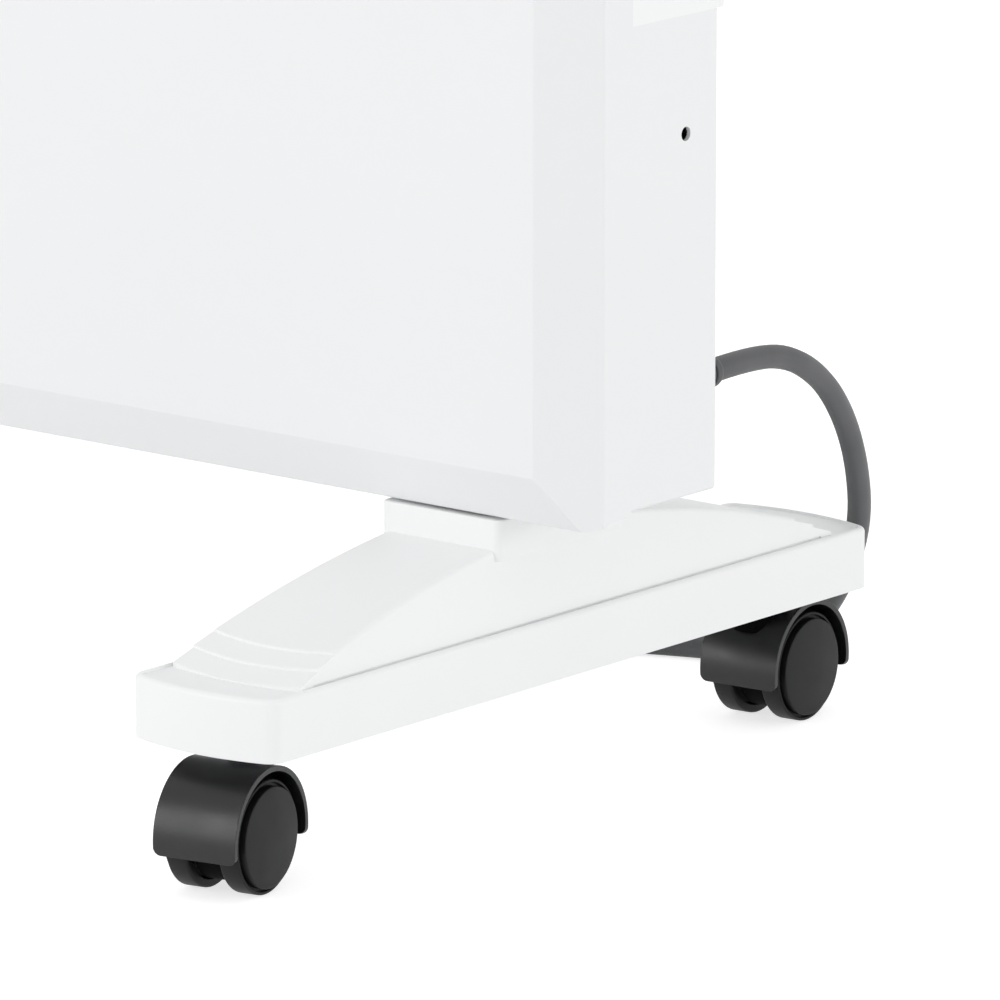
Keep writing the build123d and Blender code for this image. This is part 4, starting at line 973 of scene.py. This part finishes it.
# Sizes in millimetres.
RECESS_DEPTH = 2.0
RECESS_WIDTH = 34.6
RECESS_ENDS = ((325.0, 340.85), (449.25, 466.6))  # bottom and top of the plates
PLATE_THICK = 2.0
DIAL_BACK = 8.5  # from the knob's face to the middle of the ink
ROCKER_HEIGHTS = {"power_rocker": 388.8, "heat_rocker": 358.8}
ROCKER_AXIS_X = 305.5
ROCKER_REST = -6  # degrees
INK_THICK = 0.08
MARKS_OUT = 3.02  # from the rocker's axis to the middle of the ink
MARKS_UP = 2.1
ON_BAR = (0.5, 2.2)
OFF_RING = (0.75, 1.2)
RING_STEPS = 32


def stroke_tree():
    """Geometry Nodes: short printed strokes round an axis along X."""
    tree, given = grow_tree("dial_strokes", {
        "Centre": "Vector", "Count": "Int", "Radius": "Float", "Size": "Vector", "Start": "Float",
        "Sweep": "Float", "Material": "Material",
    })
    stroke = node(tree, "GeometryNodeMeshCube", {"Size": given["Size"]}).outputs["Mesh"]
    out = node(tree, "ShaderNodeCombineXYZ", {"Z": given["Radius"]}).outputs[0]
    stroke = node(tree, "GeometryNodeTransform", {"Geometry": stroke, "Translation": out}).outputs[0]
    points = node(tree, "GeometryNodeMeshLine", {"Count": given["Count"], "Offset": (0, 0, 0)}).outputs[0]
    steps = node(tree, "ShaderNodeMath", {0: given["Count"], 1: 1.0}, operation="SUBTRACT").outputs[0]
    step = node(tree, "ShaderNodeMath", {0: given["Sweep"], 1: steps}, operation="DIVIDE").outputs[0]
    index = node(tree, "GeometryNodeInputIndex").outputs[0]
    angle = node(tree, "ShaderNodeMath", {0: index, 1: step, 2: given["Start"]},
                 operation="MULTIPLY_ADD").outputs[0]
    ring = node(tree, "GeometryNodeInstanceOnPoints", {
        "Points": points, "Instance": stroke,
        "Rotation": node(tree, "ShaderNodeCombineXYZ", {"X": angle}).outputs[0],
    }).outputs[0]
    placed = node(tree, "GeometryNodeTransform", {"Geometry": ring,
                                                  "Translation": given["Centre"]}).outputs[0]
    return finish_tree(tree, placed, given["Material"])


class HEATER_OT_control_marks(bpy.types.Operator):
    """The floor at both ends of the control recess, strokes round the knob, and marks on the rockers"""

    bl_idname = "heater.control_marks"
    bl_label = "Control Marks"

    def execute(self, context):
        self.recess_floor()
        _, high, middle = box_of("thermostat_knob")
        strokes = grown("dial_strokes", stroke_tree(), {
            "Centre": (high.x - DIAL_BACK * MM, middle.y, middle.z), "Count": 11, "Radius": 15.55 * MM,
            "Size": (0.5 * MM, 0.5 * MM, 1.3 * MM), "Start": 0.0, "Sweep": math.radians(-270),
            "Material": material_of("print"),
        })
        place_piece(strokes, "print", "control_housing", replaces=False)
        for name, height in ROCKER_HEIGHTS.items():
            self.rocker_marks(name, height)
        return {"FINISHED"}

    def recess_floor(self):
        """Closes the recess above the knob and below the rockers, flush with its floor."""
        _, high, middle = box_of("control_housing")
        x = high.x - (RECESS_DEPTH + PLATE_THICK / 2) * MM
        bm = bmesh.new()
        for bottom, top in RECESS_ENDS:
            cuboid(bm, (PLATE_THICK * MM, RECESS_WIDTH * MM, (top - bottom) * MM),
                   (x, middle.y, (bottom + top) / 2 * MM))
        place_piece(mesh_piece("control_recess_floor", bm), "abs", "control_housing", replaces=False)

    def rocker_marks(self, name, height):
        """A stroke for on and a ring for off, printed on the flat middle of the key."""
        bm = bmesh.new()
        cuboid(bm, (INK_THICK * MM, ON_BAR[0] * MM, ON_BAR[1] * MM), (0, 0, MARKS_UP * MM))
        half, (inner, outer) = INK_THICK / 2, OFF_RING
        section = [(-half, inner), (half, inner), (half, outer), (-half, outer), (-half, inner)]
        rows = []
        for k in range(RING_STEPS + 1):
            angle = 2 * math.pi * k / RING_STEPS
            rows.append([bm.verts.new((x * MM, radius * math.cos(angle) * MM,
                                       (radius * math.sin(angle) - MARKS_UP) * MM))
                         for x, radius in section])
        grid_faces(bm, rows)
        bmesh.ops.remove_doubles(bm, verts=bm.verts, dist=1e-7)
        pivot = Vector((ROCKER_AXIS_X * MM, box_of(name)[2].y, height * MM))
        turn = Matrix.Translation(pivot) @ Matrix.Rotation(math.radians(ROCKER_REST), 4, "Y")
        marks = mesh_piece(f"{name}_marks", bm, place=turn @ Matrix.Translation((MARKS_OUT * MM, 0, 0)))
        place_piece(marks, "print", name, replaces=False)


# ---- Panels, feet and what is inside --------------------------------------------------

NODE_FINISHES = {
    "paint": ["front_cover", "rear_cover"],
    "abs": ["control_housing", "grip_housing", "foot_right", "foot_left"],
    "controls": ["thermostat_knob", "power_rocker", "heat_rocker"],
    "zinc": ["element_terminals", "castor_sockets"],
    "galvanised": ["element_brackets", "heat_shield"],
    "aluminium": ["heating_element"],
    "ceramic": ["element_bushes"],
    "phenolic": ["thermostat", "rocker_frames", "thermal_cutout", "tip_switch", "terminal_block"],
    "silicone": ["inside_wires"],
}


class HEATER_OT_node_finishes(bpy.types.Operator):
    """The finish of every piece that keeps its CAD shape"""

    bl_idname = "heater.node_finishes"
    bl_label = "Piece Finishes"

    def execute(self, context):
        for kind, names in NODE_FINISHES.items():
            for name in names:
                dress(name, kind)
        return {"FINISHED"}


# ---- Stage -------------------------------------------------------------------------

WHITE = (1, 1, 1, 1)
FLOOR_HALF = 12
WORLD_SIDE = 0.78
WORLD_TOP = 0.75
LAMP_TARGET = (0.1, 0, 0.25)
LAMPS = (
    ("key", (-1.0, -2.8, 1.05), (0.5, 1.8), 22),
    ("side", (3.2, 0.9, 0.6), (1.4, 1.0), 18),
)
# A long lens in the place that the photograph's vanishing points give.
CAMERA_PLACE = (2.0190, -2.1806, 0.7364)
CAMERA_AZIMUTH = 39.03
CAMERA_ELEVATION = 13.08
CAMERA_LENS = 374.2


def seen_directly(tree):
    """1 for what the camera sees itself, in gloss or through glass, else 0."""
    path = node(tree, "ShaderNodeLightPath")
    first = node(tree, "ShaderNodeMath", {0: path.outputs["Is Camera Ray"], 1: path.outputs["Is Glossy Ray"]},
                 operation="MAXIMUM")
    return node(tree, "ShaderNodeMath", {0: first.outputs[0], 1: path.outputs["Is Transmission Ray"]},
                operation="MAXIMUM").outputs[0]


def floor_material():
    """Matt white sweep: bright where it is seen, so that only the soft contact shadows stay on it."""
    material = bpy.data.materials.new("matt_white_sweep")
    tree = bare_tree(material)
    matt = node(tree, "ShaderNodeBsdfDiffuse", {"Color": linear("F6F6F6")})
    shadows = node(tree, "ShaderNodeBsdfDiffuse", {"Color": linear("D0D0D0")})
    glow = node(tree, "ShaderNodeEmission", {"Color": WHITE, "Strength": 0.7})
    both = node(tree, "ShaderNodeAddShader", {0: shadows.outputs[0], 1: glow.outputs[0]})
    chosen = node(tree, "ShaderNodeMixShader", {0: seen_directly(tree), 1: matt.outputs[0],
                                                2: both.outputs[0]})
    node(tree, "ShaderNodeOutputMaterial", {"Surface": chosen.outputs[0]})
    return material


def area_lamp(name, place, size, power):
    """A soft lamp that looks at the heater's middle."""
    lamp = bpy.data.lights.new(name, "AREA")
    lamp.shape = "RECTANGLE"
    lamp.size, lamp.size_y = size
    lamp.energy = power
    holder = linked(name, lamp)
    holder.location = place
    holder.rotation_euler = (Vector(LAMP_TARGET) - Vector(place)).to_track_quat("-Z", "Y").to_euler()


class HEATER_OT_stage(bpy.types.Operator):
    """White sweep, soft lamps and the camera"""

    bl_idname = "heater.stage"
    bl_label = "Stage"

    def execute(self, context):
        self.sweep()
        context.scene.world = self.studio()
        for lamp in LAMPS:
            area_lamp(*lamp)
        context.scene.camera = self.camera()
        context.scene.view_settings.view_transform = "Standard"
        return {"FINISHED"}

    def sweep(self):
        """The floor."""
        bm = bmesh.new()
        bmesh.ops.create_grid(bm, x_segments=1, y_segments=1, size=FLOOR_HALF)
        floor = mesh_piece("floor", bm)
        floor.data.materials.append(floor_material())

    def studio(self):
        """Soft light from all round, seen as plain white."""
        world = bpy.data.worlds.new("studio")
        tree = bare_tree(world)
        way = node(tree, "ShaderNodeSeparateXYZ", {0: node(tree, "ShaderNodeTexCoord").outputs["Generated"]})
        level = node(tree, "ShaderNodeMapRange", {"Value": way.outputs["Z"], "To Min": WORLD_SIDE,
                                                  "To Max": WORLD_TOP}).outputs[0]
        soft = node(tree, "ShaderNodeBackground", {"Color": WHITE, "Strength": level})
        white = node(tree, "ShaderNodeBackground", {"Color": WHITE, "Strength": 1.0})
        chosen = node(tree, "ShaderNodeMixShader", {0: seen_directly(tree), 1: soft.outputs[0],
                                                    2: white.outputs[0]})
        node(tree, "ShaderNodeOutputWorld", {"Surface": chosen.outputs[0]})
        return world

    def camera(self):
        """The camera at the photograph's viewing angle."""
        camera = bpy.data.cameras.new("camera")
        camera.sensor_width = 36.0
        camera.lens = CAMERA_LENS
        camera.clip_start, camera.clip_end = 0.1, 60
        holder = linked("camera", camera)
        azimuth, elevation = math.radians(CAMERA_AZIMUTH), math.radians(CAMERA_ELEVATION)
        back = Vector((math.sin(azimuth) * math.cos(elevation), -math.cos(azimuth) * math.cos(elevation),
                       math.sin(elevation)))
        holder.location = CAMERA_PLACE
        holder.rotation_euler = (-back).to_track_quat("-Z", "Y").to_euler()
        return holder


# ---- Panel and registration -----------------------------------------------------------

STEPS = ("stage", "cord_fittings", "supply_cord", "castors", "outlet", "screws", "control_marks",
         "node_finishes")


class HEATER_PT_panel(bpy.types.Panel):
    """The heater's colours and sizes, and the steps that build it"""

    bl_idname = "HEATER_PT_panel"
    bl_label = "Panel Heater"
    bl_space_type = "VIEW_3D"
    bl_region_type = "UI"
    bl_category = "Heater"

    def draw(self, context):
        layout = self.layout
        for group in (context.scene.heater_colours, context.scene.heater_cord, context.scene.heater_castor):
            for name in group.__annotations__:
                layout.prop(group, name)
        for step in STEPS:
            layout.operator(f"heater.{step}")


GROUPS = {
    "heater_colours": HEATER_PG_colours, "heater_cord": HEATER_PG_cord, "heater_castor": HEATER_PG_castor,
}
CLASSES = (
    *GROUPS.values(), HEATER_OT_stage, HEATER_OT_cord_fittings, HEATER_OT_supply_cord, HEATER_OT_castors,
    HEATER_OT_outlet, HEATER_OT_screws, HEATER_OT_control_marks, HEATER_OT_node_finishes, HEATER_PT_panel,
)


def register():
    for item in CLASSES:
        bpy.utils.register_class(item)
    for name, group in GROUPS.items():
        setattr(bpy.types.Scene, name, PointerProperty(type=group))


def unregister():
    for name in GROUPS:
        delattr(bpy.types.Scene, name)
    for item in reversed(CLASSES):
        bpy.utils.unregister_class(item)


def main():
    """Builds the heater's looks."""
    register()
    for step in STEPS:
        getattr(bpy.ops.heater, step)()


if __name__ == "__main__":
    main()
